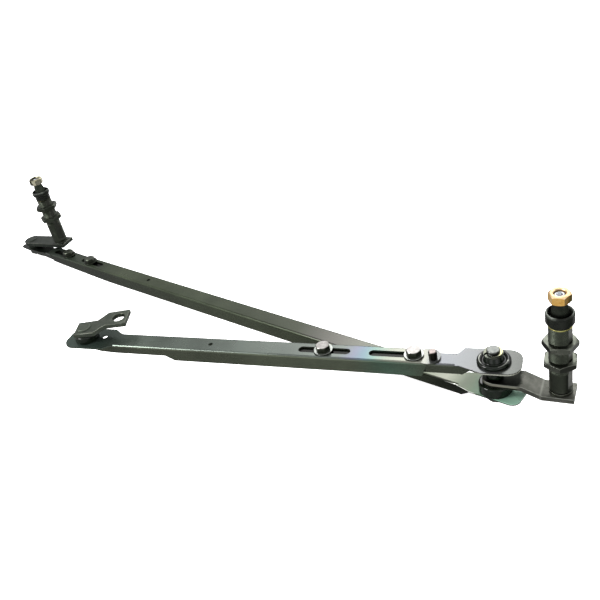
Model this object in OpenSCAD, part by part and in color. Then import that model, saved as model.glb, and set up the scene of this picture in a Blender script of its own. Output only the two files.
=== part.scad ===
// Twin pivot wiper linkage of a truck or bus: motor crank, adjustable drive rod, adjustable tie rod,
// two equal levers and two threaded pivots. All sizes are in millimetres.
// The origin is on the right pivot axis, midway between its two panel nuts. X runs from the left
// pivot to the right one, Z runs up along the wiper shafts.

/* [Linkage layout] */
// distance between the two wiper shaft axes
pivot_spacing = 773; // [720:1:830]
// distance from a wiper shaft to the joint pin of its lever
lever_centres = 57.5; // [54:0.5:62]
// rest angle of both levers against the line between the pivots
lever_rest = 15.5; // [8:0.5:22]
// distance from the right joint pin to the crank pin
drive_length = 444; // [425:1:470]
// rest angle of the drive rod against the line between the pivots
drive_rest = 19.8; // [16:0.1:24]
// distance from the crank pin to the motor shaft
crank_radius = 43; // [41:0.5:48]
// rest angle of the motor crank
crank_rest = 36; // [28:1:44]

/* [Pivots] */
// outer diameter of the threaded barrel
barrel_d = 20; // [19:0.1:21]
// length of the barrel
barrel_len = 68.3; // [66:0.1:71]
// depth of the flats that stop the barrel turning in the panel
barrel_flat = 0.9; // [0.6:0.1:1.2]
// diameter of the wiper shaft
shaft_d = 12; // [11:0.1:13]
// outer diameter of the bearing bushes in the barrel
bearing_d = 16; // [15.4:0.1:16.6]
// length of each bearing bush
bearing_len = 14; // [10:0.5:20]
// width across flats of the low panel nuts
panel_nut_flats = 27; // [26:0.1:29]
// height of the panel nuts
panel_nut_h = 6.3; // [5.6:0.1:7.4]
// middle of the right lower panel nut above the barrel foot
right_lower_nut_at = 30.5; // [27:0.1:33]
// middle of the right upper panel nut below the barrel top
right_upper_nut_down = 18.3; // [15:0.1:20]
// middle of the left lower panel nut above the barrel foot
left_lower_nut_at = 38.9; // [36:0.1:42]
// middle of the left upper panel nut below the barrel top
left_upper_nut_down = 11.6; // [9:0.1:14]

/* [Shaft top] */
// thickness of the washer under the dust cap
top_washer_h = 1.4; // [1:0.1:2]
// outer diameter of the washer under the dust cap
top_washer_d = 20.6; // [20.2:0.1:22]
// outer diameter of the dust cap
cap_d = 24.4; // [23.6:0.1:25.4]
// height of the dust cap
cap_h = 12.8; // [12.2:0.1:14]
// wall of the open cup at the top of the cap
cap_wall = 2; // [1.8:0.1:2.4]
// depth of the open cup
cap_cup = 7.4; // [6:0.1:8.4]
// height of the thick band of the right cap
right_cap_band = 11; // [10:0.1:11.6]
// height of the thick band of the left cap
left_cap_band = 6.4; // [5.6:0.1:7.4]
// how far the foot of a cap stands back from its band
cap_step = 2; // [1.6:0.1:2.2]
// height of the shaft collar over the floor of the cup
collar_over_floor = 4.6; // [3:0.1:5.5]
// diameter of the shaft collar under the taper
collar_d = 16; // [15:0.1:17]
// height of the taper that grips the wiper arm
taper_h = 13.4; // [12:0.1:15]
// small end of the taper
taper_top_d = 10.8; // [10.6:0.1:12]
// thread of the wiper arm nut
arm_thread_d = 10; // [9.6:0.1:10.4]
// width across flats of the wiper arm nut
arm_nut_flats = 17; // [16.4:0.1:17.8]
// height of the wiper arm nut
arm_nut_h = 8.4; // [7.6:0.1:9.2]
// how far the shaft end stays below the top of the nut
arm_nut_recess = 1.7; // [0.8:0.1:3]

/* [Levers] */
// thickness of the lever plate
lever_t = 5; // [4.5:0.1:5.6]
// width of the lever plate
lever_w = 23.6; // [22:0.1:25]
// square end beyond the shaft axis
lever_tail = 12.6; // [11:0.1:14]
// rise of the offset bend in the lever
lever_rise = 8; // [7:0.1:9]
// start of the offset bend from the shaft axis
lever_bend_from = 15.5; // [14:0.1:18]
// end of the offset bend from the shaft axis
lever_bend_to = 33; // [30:0.1:36]
// thickness of the thrust washer between the right lever and its barrel
thrust_washer_h = 2.7; // [2:0.1:3.2]
// thickness of the thrust washer between the left lever and its barrel
left_washer_h = 1; // [0.8:0.1:1.6]
// outer diameter of the thrust washer
thrust_washer_d = 20.4; // [19.6:0.1:23]
// height of the riveted shaft end below the lever
rivet_h = 2; // [1.5:0.1:2.6]
// diameter of the riveted shaft end
rivet_d = 16; // [15:0.1:18]

/* [Rods] */
// outer width of the drive rod
rod_w = 23; // [22.6:0.1:24]
// full depth of the flanges
rod_depth = 15.5; // [14.5:0.1:16.5]
// depth of the flanges close to the eyes of the drive rod
rod_shallow = 9.8; // [9:0.1:11]
// thickness of the sheet
sheet = 2; // [1.8:0.05:2.2]
// outer radius of the pressed corner
corner_r = 2.8; // [2.4:0.1:3.4]
// half width of the eye plates of the drive rod
eye_half = 17.5; // [16.5:0.1:18.5]
// reach of the eye plates of the drive rod beyond the pin
eye_end = 25; // [23.5:0.1:27]
// corner radius of the eye plates of the drive rod
eye_corner = 13; // [9:0.5:15]
// where the crank eye and the left eye start to narrow
eye_wide_to = 28; // [26:0.1:30]
// where the crank eye and the left eye reach the channel width
eye_narrow_at = 37; // [34:0.1:40]
// where the flanges have faded into the crank eye and the left eye
skirt_from = 20; // [18:0.1:22]
// diameter of the holes for locating the blanks in the press
tool_hole_d = 5; // [4:0.1:6]

/* [Drive rod] */
// where the drive eye starts to narrow on its front side
drive_front_wide_to = 10; // [9:0.1:12]
// where the drive eye reaches the channel width on its front side
drive_front_narrow_at = 30; // [28.5:0.1:31.5]
// where the drive eye starts to narrow on its back side
drive_back_wide_to = 28.5; // [27.5:0.1:29.5]
// where the drive eye reaches the channel width on its back side
drive_back_narrow_at = 33; // [32:0.1:34.5]
// where the flanges have faded into the drive eye
drive_skirt_from = 20; // [18.5:0.1:21]
// where the flanges beside the drive eye reach their depth
drive_skirt_to = 28.2; // [27:0.1:29.5]
// height of the drive rod web over the lever plate
drive_bush_stand = 15.15; // [14:0.05:16.5]
// rounded end of the outer channel from the right pin
drive_tongue_at = 48; // [46.5:0.1:49]
// bolt close to the right pin
drive_bolt_a = 73.2; // [72.6:0.1:76]
// bolt away from the right pin
drive_bolt_b = 163.6; // [158:0.1:168]
// near end of the slot close to the right pin
drive_slot_a_from = 68; // [66:0.1:68.6]
// far end of the slot close to the right pin
drive_slot_a_to = 117.2; // [112:0.1:122]
// near end of the slot away from the right pin
drive_slot_b_from = 136; // [132:0.1:140]
// far end of the slot away from the right pin
drive_slot_b_to = 190; // [186:0.1:194]
// end of the inner channel from the right pin
drive_inner_end = 203; // [198:0.5:212]
// end of the full flange depth from the right pin
drive_step_from = 329; // [320:0.5:338]
// start of the shallow flange depth from the right pin
drive_step_to = 341; // [339:0.5:352]
// locating hole from the right pin
drive_hole_at = 289; // [280:0.5:300]
// locating hole beside the crank pin, from the pin
crank_eye_hole_at = 20.5; // [19.5:0.1:22]
// locating hole beside the crank pin, from the middle line of the rod
crank_eye_hole_off = 3.8; // [2:0.1:5]
// height of the stud over the web
stud_h = 8.5; // [7.5:0.1:10]
// diameter of the stud
stud_d = 8; // [7.4:0.1:8.6]
// stud from the right pin
stud_at = 54.5; // [54:0.1:56]
// stud from the middle line of the rod
stud_off = 3; // [2:0.1:4]

/* [Tie rod] */
// depth of the tie rod web below the lever plate
tie_bush_stand = 10.4; // [9.8:0.05:11.5]
// outer width of the tie rod
tie_w = 21.5; // [21.3:0.1:22.6]
// full depth of the tie rod flanges
tie_depth = 16.1; // [15:0.1:17.5]
// depth of the tie rod flanges close to the right eye
tie_shallow = 10.5; // [9.8:0.1:12]
// half width of the right eye plate
tie_eye_half = 13.8; // [13.4:0.1:15]
// reach of the right eye plate beyond the pin
tie_eye_end = 27; // [25:0.1:28.5]
// corner radius of the right eye plate
tie_eye_corner = 8; // [6:0.5:10]
// where the right eye plate starts to narrow
tie_wide_to = 20; // [18.5:0.1:21]
// where the right eye plate reaches the channel width
tie_narrow_at = 33; // [31.5:0.1:35]
// where the flanges have faded into the right eye plate
tie_skirt_from = 20.5; // [19.5:0.1:22]
// where the flanges beside the right eye reach their depth
tie_skirt_to = 31; // [29.5:0.1:32.5]
// half width of the left eye plate
left_eye_half = 10.5; // [10.2:0.1:11.5]
// reach of the left eye plate beyond the pin
left_eye_end = 22.5; // [21.5:0.1:24.5]
// corner radius of the left eye plate
left_eye_corner = 4; // [3:0.5:6]
// rounded end of the outer channel from the left pin
tie_tongue_at = 46; // [44:0.1:48]
// bolt close to the left pin
tie_bolt_a = 92; // [89:0.1:95]
// bolt away from the left pin
tie_bolt_b = 145; // [142:0.1:150]
// near end of the slot close to the left pin
tie_slot_a_from = 58; // [56:0.1:62]
// far end of the slot close to the left pin
tie_slot_a_to = 104; // [103.6:0.1:108]
// near end of the slot away from the left pin
tie_slot_b_from = 126; // [122:0.1:130]
// far end of the slot away from the left pin
tie_slot_b_to = 172; // [168:0.1:176]
// end of the inner channel from the left pin
tie_inner_end = 186; // [182:0.5:196]
// end of the shallow flange depth from the right pin
tie_step_from = 150; // [140:0.5:156]
// start of the full flange depth from the right pin
tie_step_to = 162; // [158:0.5:176]
// locating hole from the left pin
tie_hole_at = 273; // [255:0.5:295]

/* [Joints] */
// diameter of the joint pins
pin_d = 12; // [11:0.1:13]
// outer diameter of the bush body at the motor crank
bush_d = 27.4; // [26:0.1:29]
// outer diameter of the bush body between tie rod and right lever
tie_bush_d = 30.6; // [29.4:0.1:32]
// outer diameter of the left tie rod bush
left_bush_d = 21; // [20:0.1:22]
// diameter of the left tie rod bush in the eye plate
left_neck_d = 15.4; // [15:0.1:16]
// outer diameter of the bush sleeve under the drive rod
sleeve_d = 16; // [15.6:0.1:17]
// outer diameter of the bush ring over the drive rod
bush_flange_d = 30.8; // [29.8:0.1:32]
// height of the bush ring over the drive rod
bush_ring_h = 3.8; // [3.4:0.1:4.4]
// diameter of the bush neck in the eye plate
bush_neck_d = 18; // [17:0.1:19]
// height of the snap flange on the far side of an eye plate
snap_h = 4.6; // [4:0.1:5.4]
// diameter of the snap flange
snap_d = 25; // [24:0.1:26.5]
// height of the bush middle over the drive rod
dome_h = 8.4; // [7.6:0.1:9]
// outer diameter of the washers on the pins
pin_washer_d = 18; // [17:0.1:19]
// thickness of the washers on the pins
pin_washer_h = 1.5; // [1.2:0.1:1.8]
// outer diameter of the retaining rings
clip_d = 17; // [16:0.1:18]
// thickness of the retaining rings
clip_h = 1.2; // [1:0.1:1.5]
// depth of the pin groove for a retaining ring
clip_groove = 0.9; // [0.6:0.1:1.2]
// pin length beyond a retaining ring
pin_tip = 2.5; // [2:0.1:4]
// height of the riveted pin heads
pin_head_h = 1.2; // [0.8:0.1:1.6]
// diameter of the riveted pin heads
pin_head_d = 15; // [14:0.1:17]

/* [Motor crank] */
// gap between drive rod web and crank plate
crank_bush_stand = 8.7; // [8:0.1:9.4]
// thickness of the crank plate
crank_t = 5; // [4.5:0.1:5.6]
// width at the pin end
crank_pin_w = 23; // [22:0.1:24.5]
// width at the motor end
crank_motor_w = 26.4; // [25:0.1:28]
// reach of the plate beyond the pin
crank_pin_tail = 9.4; // [9:0.1:11]
// reach of the plate beyond the motor shaft
crank_motor_tail = 10.4; // [10:0.1:12]
// rise of the offset bend in the crank
crank_rise = 7.8; // [7:0.1:8.6]
// start of the offset bend from the pin
crank_bend_from = 14; // [12:0.1:16]
// end of the offset bend from the pin
crank_bend_to = 30; // [28:0.1:32]
// bore for the motor shaft
motor_bore_d = 14; // [12.5:0.1:15]

/* [Fasteners] */
// bolt diameter
bolt_d = 8; // [7.6:0.1:8.4]
// width across flats of bolt heads and nuts
bolt_flats = 13; // [12.6:0.1:13.2]
// height of the bolt heads
bolt_head_h = 5.3; // [5:0.1:5.8]
// height of the nuts
bolt_nut_h = 6; // [5.4:0.1:6.4]
// outer diameter of the washers
bolt_washer_d = 19; // [18:0.1:20]
// thickness of the washers
bolt_washer_h = 1.6; // [1.4:0.1:2]
// width of the slots
slot_w = 8.8; // [8.6:0.1:9.2]

/* [Clearances] */
// radial clearance of every turning pin or shaft
running_gap = 0.05; // [0.02:0.01:0.1]
// end clearance of every turning joint
end_gap = 0.3; // [0.2:0.05:0.5]
// clearance between sliding faces of the rods
slide_gap = 0.05; // [0.02:0.01:0.1]
// side clearance between the nested channels
nest_gap = 0.1; // [0.05:0.01:0.2]
// side clearance of the left bush lip inside the tie rod
left_snap_gap = 0.25; // [0.1:0.05:0.4]

/* [Hidden] */
$fn = 64;
right_upper_nut_at = barrel_len - right_upper_nut_down;
left_upper_nut_at = barrel_len - left_upper_nut_down;
panel_mid = (right_lower_nut_at + right_upper_nut_at) / 2;
lever_top = -thrust_washer_h - end_gap;
lever_bottom = lever_top - lever_t;
joint_bottom = lever_bottom + lever_rise;
joint_top = joint_bottom + lever_t;
left_lever_top = -left_washer_h - end_gap;
left_lever_bottom = left_lever_top - lever_t;
right_pin_x = -lever_centres * cos(lever_rest);
right_pin_y = -lever_centres * sin(lever_rest);
drive_inner_bottom = joint_top + drive_bush_stand;
drive_inner_top = drive_inner_bottom + sheet;
drive_outer_bottom = drive_inner_top + slide_gap;
drive_outer_top = drive_outer_bottom + sheet;
tie_outer_top = joint_bottom - tie_bush_stand;
tie_outer_bottom = tie_outer_top - sheet;
tie_inner_top = tie_outer_bottom - slide_gap;
tie_inner_bottom = tie_inner_top - sheet;
inner_w = rod_w - 2 * sheet - 2 * nest_gap;
tie_inner_w = tie_w - 2 * sheet - 2 * nest_gap;
inner_depth = rod_shallow;
inner_corner_r = sheet + 0.6;
skirt_share = 0.38;
even_flare = [[eye_wide_to, eye_wide_to], [eye_narrow_at, eye_narrow_at]];
tie_flare = [[tie_wide_to, tie_wide_to], [tie_narrow_at, tie_narrow_at]];
drive_flare = [[drive_back_wide_to, drive_front_wide_to], [drive_back_narrow_at, drive_front_narrow_at]];
pin_r = pin_d / 2;
pin_bore_r = pin_r + running_gap;
crank_bottom = drive_outer_top + crank_bush_stand;
crank_top = crank_bottom + crank_t;
dome_top = drive_inner_top + dome_h;
bolt_hole_d = bolt_d + 0.4;
collar_from = barrel_len + end_gap + top_washer_h;
taper_from = collar_from + cap_h - cap_cup + collar_over_floor;
thread_from = taper_from + taper_h;
nut_top = thread_from + arm_nut_h;
shaft_end = nut_top - arm_nut_recess;
right_low_stop = tie_outer_bottom - snap_h - end_gap;
left_low_stop = tie_inner_bottom - snap_h - end_gap;
crank_low_stop = drive_outer_bottom - snap_h - end_gap;
upper_stop = dome_top + end_gap;

// Places
module at_right_pivot() {
    translate([0, 0, -panel_mid])
        children();
}

module at_left_pivot() {
    translate([-pivot_spacing, 0, -panel_mid])
        children();
}

module at_right_pin() {
    translate([right_pin_x, right_pin_y, -panel_mid])
        children();
}

module at_left_pin() {
    translate([right_pin_x - pivot_spacing, right_pin_y, -panel_mid])
        children();
}

module along_drive() {
    at_right_pin()
        rotate([0, 0, 180 + drive_rest])
            children();
}

module at_crank_pin() {
    along_drive()
        translate([drive_length, 0, 0])
            rotate([0, 0, crank_rest - 180 - drive_rest])
                children();
}

// Shared shapes
module ring(outer_d, inner_d, z_from, z_to) {
    translate([0, 0, z_from])
        difference() {
            cylinder(d = outer_d, h = z_to - z_from);
            translate([0, 0, -1])
                cylinder(d = inner_d, h = z_to - z_from + 2);
        }
}

// Hexagon with turned chamfers at the top, and at the foot too if both_ends is true
module hex_prism(flats, height, turn, both_ends) {
    corner = flats / sqrt(3);
    inner_r = flats * 0.48;
    cut = (corner - flats / 2) * 0.62;
    intersection() {
        rotate([0, 0, turn])
            cylinder(r = corner, h = height, $fn = 6);
        rotate_extrude()
            polygon(both_ends
                ? [[0, 0], [inner_r, 0], [corner + 0.1, cut], [corner + 0.1, height - cut],
                    [inner_r, height], [0, height]]
                : [[0, 0], [corner + 0.1, 0], [corner + 0.1, height - cut], [inner_r, height],
                    [0, height]]);
    }
}

module hex_nut(flats, bore_d, height, turn) {
    difference() {
        hex_prism(flats, height, turn, true);
        translate([0, 0, -1])
            cylinder(d = bore_d, h = height + 2);
    }
}

module channel_half(width, depth, radius) {
    translate([-width / 2 + radius, -depth])
        square([width - 2 * radius, depth]);
    translate([-width / 2, -depth])
        square([width, depth - radius]);
    for (side = [-1, 1])
        translate([side * (width / 2 - radius), -radius])
            circle(r = radius);
}

// Pressed channel along X with its web on top at z_top
module channel(width, depth, radius, x_from, x_to, z_top) {
    translate([x_from, 0, z_top])
        rotate([90, 0, 90])
            linear_extrude(x_to - x_from)
                difference() {
                    channel_half(width, depth, radius);
                    translate([0, -sheet])
                        channel_half(width - 2 * sheet, depth, radius - sheet);
                }
}

// Outline of an eye plate around a pin at the origin, running into a channel on the +X side.
// wide and narrow give the ends of the flare on the -Y side and on the +Y side.
module eye_outline(narrow_w, half, reach, corner, wide, narrow) {
    flare_from = min(wide);
    flare_to = max(narrow) + 1;
    translate([-reach + corner, -half])
        square([reach - corner + flare_from, 2 * half]);
    translate([-reach, -half + corner])
        square([corner, 2 * (half - corner)]);
    for (side = [-1, 1])
        translate([-reach + corner, side * (half - corner)])
            circle(r = corner);
    polygon([[flare_from - 0.01, -half], [wide[0], -half], [narrow[0], -narrow_w / 2],
        [flare_to, -narrow_w / 2], [flare_to, narrow_w / 2], [narrow[1], narrow_w / 2], [wide[1], half],
        [flare_from - 0.01, half]]);
}

module eye_plate(narrow_w, half, reach, corner, z_bottom, wide, narrow) {
    translate([0, 0, z_bottom])
        linear_extrude(sheet)
            eye_outline(narrow_w, half, reach, corner, wide, narrow);
}

// Flange that follows the edge of an eye plate from x_from to the channel
module eye_skirt(narrow_w, half, x_from, depth, z_top, wide, narrow) {
    skirt_to = max(narrow) + 2.5;
    translate([0, 0, z_top - depth])
        linear_extrude(depth - sheet / 2)
            for (i = [0, 1]) {
                side = 2 * i - 1;
                back = sheet * tan(atan2(half - narrow_w / 2, narrow[i] - wide[i]) / 2);
                polygon([[x_from, side * half], [wide[i], side * half],
                    [narrow[i], side * narrow_w / 2], [skirt_to, side * narrow_w / 2],
                    [skirt_to, side * (narrow_w / 2 - sheet)],
                    [narrow[i] - back, side * (narrow_w / 2 - sheet)],
                    [wide[i] - back, side * (half - sheet)], [x_from, side * (half - sheet)]]);
            }
}

module slot_cut(x_from, x_to, z_at) {
    translate([0, 0, z_at - sheet])
        linear_extrude(4 * sheet) {
            translate([x_from + slot_w / 2, -slot_w / 2])
                square([x_to - x_from - slot_w, slot_w]);
            for (x = [x_from + slot_w / 2, x_to - slot_w / 2])
                translate([x, 0])
                    circle(d = slot_w);
        }
}

module round_cut(x, diameter, z_at) {
    translate([x, 0, z_at - sheet])
        cylinder(d = diameter, h = 4 * sheet);
}

// Everything below a side profile is cut off, points are [x, depth below z_top]
module below_profile(points, z_top) {
    last = len(points) - 1;
    translate([0, rod_w, z_top])
        rotate([90, 0, 0])
            linear_extrude(2 * rod_w)
                polygon(concat([for (p = points) [p[0], -p[1]]],
                    [[points[last][0], -3 * rod_depth], [points[0][0], -3 * rod_depth]]));
}

// Offset plate from a side profile, x runs from the first hole
module offset_side(tail, from, to, rise, reach, thick) {
    polygon([[-tail, 0], [from, 0], [to, rise], [reach, rise], [reach, rise + thick],
        [to - thick * 0.18, rise + thick], [from - thick * 0.18, thick], [-tail, thick]]);
}

// Lever, plate with an offset bend, square at the shaft and round at the joint
module offset_lever() {
    rotate([0, 0, 180 + lever_rest])
        difference() {
            intersection() {
                translate([0, lever_w, lever_bottom])
                    rotate([90, 0, 0])
                        linear_extrude(2 * lever_w)
                            offset_side(lever_tail + 1, lever_bend_from, lever_bend_to, lever_rise,
                                lever_centres + lever_w, lever_t);
                translate([0, 0, lever_bottom - 1])
                    linear_extrude(lever_rise + lever_t + 2) {
                        translate([-lever_tail, -lever_w / 2])
                            square([lever_tail + lever_centres, lever_w]);
                        translate([lever_centres, 0])
                            circle(d = lever_w);
                    }
            }
            translate([0, 0, lever_bottom - 1])
                cylinder(d = shaft_d, h = lever_t + lever_rise + 2);
            translate([lever_centres, 0, lever_bottom - 1])
                cylinder(d = pin_d, h = lever_t + lever_rise + 2);
        }
}

// Lever of the same size in plan, but flat
module flat_lever() {
    rotate([0, 0, 180 + lever_rest])
        translate([0, 0, left_lever_bottom])
            linear_extrude(lever_t)
                difference() {
                    union() {
                        translate([-lever_tail, -lever_w / 2])
                            square([lever_tail + lever_centres, lever_w]);
                        translate([lever_centres, 0])
                            circle(d = lever_w);
                    }
                    circle(d = shaft_d);
                    translate([lever_centres, 0])
                        circle(d = pin_d);
                }
}

// Pivot barrel with two flats along its thread
module barrel() {
    flat_at = barrel_d / 2 - barrel_flat;
    difference() {
        rotate_extrude()
            polygon([[bearing_d / 2, 0], [barrel_d / 2 - 0.8, 0], [barrel_d / 2, 0.8],
                [barrel_d / 2, barrel_len - 0.8], [barrel_d / 2 - 0.8, barrel_len],
                [bearing_d / 2, barrel_len]]);
        rotate([0, 0, -5])
            for (side = [0, 180])
                rotate([0, 0, side])
                    translate([flat_at, -barrel_d, barrel_len * 0.06])
                        cube([barrel_d, 2 * barrel_d, barrel_len]);
    }
}

module bearing(z_from) {
    ring(bearing_d, shaft_d + 2 * running_gap, z_from, z_from + bearing_len);
}

module panel_nut(z_mid, turn) {
    translate([0, 0, z_mid - panel_nut_h / 2])
        hex_nut(panel_nut_flats, barrel_d, panel_nut_h, turn);
}

// Wiper shaft, riveted in the lever below, with a collar, a taper and a thread above the barrel
module wiper_shaft(lever_low) {
    rotate_extrude()
        polygon([[0, lever_low - rivet_h], [rivet_d / 2 - 1.2, lever_low - rivet_h],
            [rivet_d / 2, lever_low - rivet_h + 0.8], [rivet_d / 2, lever_low],
            [shaft_d / 2, lever_low], [shaft_d / 2, collar_from], [collar_d / 2, collar_from],
            [collar_d / 2, taper_from], [taper_top_d / 2, thread_from],
            [arm_thread_d / 2, thread_from], [arm_thread_d / 2, shaft_end - 0.8],
            [arm_thread_d / 2 - 0.8, shaft_end], [0, shaft_end]]);
}

module thrust_washer(z_from, height) {
    ring(thrust_washer_d, shaft_d + 2 * running_gap, z_from, z_from + height);
}

module top_washer() {
    ring(top_washer_d, shaft_d + 2 * running_gap, barrel_len + end_gap, collar_from);
}

// Dust cap, a moulded cup pressed on the shaft collar, with a thick band round its rim
module dust_cap(band_h) {
    band_r = cap_d / 2;
    foot_r = band_r - cap_step;
    cup_r = band_r - cap_wall;
    cap_top = collar_from + cap_h;
    band_from = cap_top - band_h;
    floor_at = cap_top - cap_cup;
    floor_r = max(collar_d / 2 + 0.4, min(cup_r - 1, foot_r - cap_wall + 0.4));
    throat_at = max(floor_at + 0.6, band_from + 1);
    rotate_extrude()
        polygon([[collar_d / 2, collar_from], [foot_r, collar_from], [foot_r, band_from],
            [band_r, band_from + 1.2], [band_r, cap_top - 1.8], [band_r - 0.4, cap_top - 0.6],
            [band_r - 1, cap_top], [cup_r + 0.4, cap_top], [cup_r, cap_top - 0.5], [cup_r, throat_at + 1.6],
            [floor_r, throat_at], [floor_r, floor_at], [collar_d / 2, floor_at]]);
}

module arm_nut(turn) {
    translate([0, 0, thread_from])
        hex_nut(arm_nut_flats, arm_thread_d, arm_nut_h, turn);
}

// Bush, body on the plate side from near_z to the web, neck in the web, snap flange beyond
module snap_bush(near_z, web_near, web_far, body_d, neck_d, flange_d) {
    side = web_far > web_near ? 1 : -1;
    far_z = web_far + side * snap_h;
    rotate_extrude()
        polygon([[pin_bore_r, near_z], [body_d / 2 - 1.2, near_z], [body_d / 2, near_z + side * 1.2],
            [body_d / 2, web_near], [neck_d / 2, web_near], [neck_d / 2, web_far],
            [flange_d / 2, web_far], [flange_d / 2, web_far + side * snap_h * 0.45],
            [max(flange_d / 2 - 2.4, neck_d / 2 - 0.5), far_z], [pin_bore_r, far_z]]);
}

// Bush with a sleeve and a snap lip under the drive rod, and a raised ring round a cone over it
module dished_bush() {
    sleeve_from = joint_top + end_gap;
    lip_r = bush_neck_d / 2 + 1.6;
    ring_r = bush_flange_d / 2;
    ring_top = drive_inner_top + bush_ring_h;
    dish_at = drive_inner_top + bush_ring_h * 0.45;
    rotate_extrude()
        polygon([[pin_bore_r, sleeve_from], [sleeve_d / 2 - 0.8, sleeve_from],
            [sleeve_d / 2, sleeve_from + 0.8], [sleeve_d / 2, drive_inner_bottom - 3.4],
            [lip_r - 1.4, drive_inner_bottom - 3.4], [lip_r, drive_inner_bottom - 1.8],
            [lip_r, drive_inner_bottom], [bush_neck_d / 2, drive_inner_bottom],
            [bush_neck_d / 2, drive_inner_top], [ring_r - 0.5, drive_inner_top],
            [ring_r, drive_inner_top + 0.8], [ring_r, ring_top - 1.5], [ring_r - 0.6, ring_top - 0.5],
            [ring_r - 1.7, ring_top], [ring_r - 2.9, ring_top - 0.2], [ring_r - 3.9, ring_top - 0.9],
            [ring_r - 4.8, dish_at], [ring_r - 5.6, dish_at], [pin_washer_d / 2 - 0.6, dome_top - 0.8],
            [pin_washer_d / 2 - 1.4, dome_top], [pin_bore_r, dome_top]]);
}

module pin_washer(z_from) {
    ring(pin_washer_d, pin_d + 2 * running_gap, z_from, z_from + pin_washer_h);
}

// Retaining ring with an open mouth, set in the groove of a pin
module retaining_ring(z_from) {
    difference() {
        ring(clip_d, pin_d - 2 * clip_groove, z_from, z_from + clip_h);
        translate([0, -pin_d * 0.3, z_from - 1])
            cube([clip_d, pin_d * 0.6, clip_h + 2]);
    }
}

// Pin hanging below a plate: head or shank top at z_top, ring groove from ring_z downwards
module hanging_pin(z_top, ring_z, head_from) {
    ring_low = ring_z - clip_h;
    end_z = ring_low - pin_tip;
    groove_r = pin_r - clip_groove;
    head_r = head_from < z_top ? pin_head_d / 2 : pin_r;
    head_z = head_from < z_top ? head_from : z_top - 1;
    rotate_extrude()
        polygon([[0, end_z], [pin_r - 0.8, end_z], [pin_r, end_z + 0.8], [pin_r, ring_low],
            [groove_r, ring_low], [groove_r, ring_z], [pin_r, ring_z], [pin_r, head_z],
            [head_r, head_z], [head_r, z_top - 0.5], [head_r - 0.5, z_top], [0, z_top]]);
}

module bolt(z_head, z_nut) {
    translate([0, 0, z_head])
        hex_prism(bolt_flats, bolt_head_h, 30, false);
    translate([0, 0, z_nut - bolt_nut_h - 1.5])
        cylinder(d = bolt_d, h = z_head - z_nut + bolt_nut_h + 2);
}

// Right pivot, fixed to the vehicle
module right_pivot_barrel() {
    color("#2c2e2a") at_right_pivot() barrel();
}

module right_lower_panel_nut() {
    color("#4a4b48") at_right_pivot() panel_nut(right_lower_nut_at, 50);
}

module right_upper_panel_nut() {
    color("#4a4b48") at_right_pivot() panel_nut(right_upper_nut_at, 23);
}

module right_lower_bearing_bush() {
    color("#9a8460") at_right_pivot() bearing(0);
}

module right_upper_bearing_bush() {
    color("#9a8460") at_right_pivot() bearing(barrel_len - bearing_len);
}

// Right lever and all that turns with it
module right_lever() {
    color("#6e6c66") at_right_pivot() offset_lever();
}

module right_wiper_shaft() {
    color("#8a8c8c") at_right_pivot() wiper_shaft(lever_bottom);
}

module right_thrust_washer() {
    color("#3c3c3a") at_right_pivot() thrust_washer(lever_top, thrust_washer_h);
}

module right_top_washer() {
    color("#c9a45a") at_right_pivot() top_washer();
}

module right_dust_cap() {
    color("#23241f") at_right_pivot() dust_cap(right_cap_band);
}

module right_arm_nut() {
    color("#d9a552") at_right_pivot() arm_nut(15);
}

module right_joint_pin() {
    groove_r = pin_r - clip_groove;
    ring_z = right_low_stop - pin_washer_h;
    ring_low = ring_z - clip_h;
    end_z = ring_low - pin_tip;
    upper_z = upper_stop + pin_washer_h;
    top_z = upper_z + clip_h + pin_tip;
    color("#b4b6b8") at_right_pin()
        rotate_extrude()
            polygon([[0, end_z], [pin_r - 0.8, end_z], [pin_r, end_z + 0.8], [pin_r, ring_low],
                [groove_r, ring_low], [groove_r, ring_z], [pin_r, ring_z], [pin_r, upper_z],
                [groove_r, upper_z], [groove_r, upper_z + clip_h], [pin_r, upper_z + clip_h],
                [pin_r, top_z - 0.6], [pin_r - 0.6, top_z], [0, top_z]]);
}

module right_joint_upper_clip() {
    color("#d8b84e") at_right_pin()
        rotate([0, 0, 255])
            retaining_ring(upper_stop + pin_washer_h);
}

module right_joint_upper_washer() {
    color("#cdb060") at_right_pin() pin_washer(upper_stop);
}

module right_joint_lower_clip() {
    color("#7d7f80") at_right_pin() retaining_ring(right_low_stop - pin_washer_h - clip_h);
}

module right_joint_lower_washer() {
    color("#a5a6a4") at_right_pin() pin_washer(right_low_stop - pin_washer_h);
}

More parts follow.
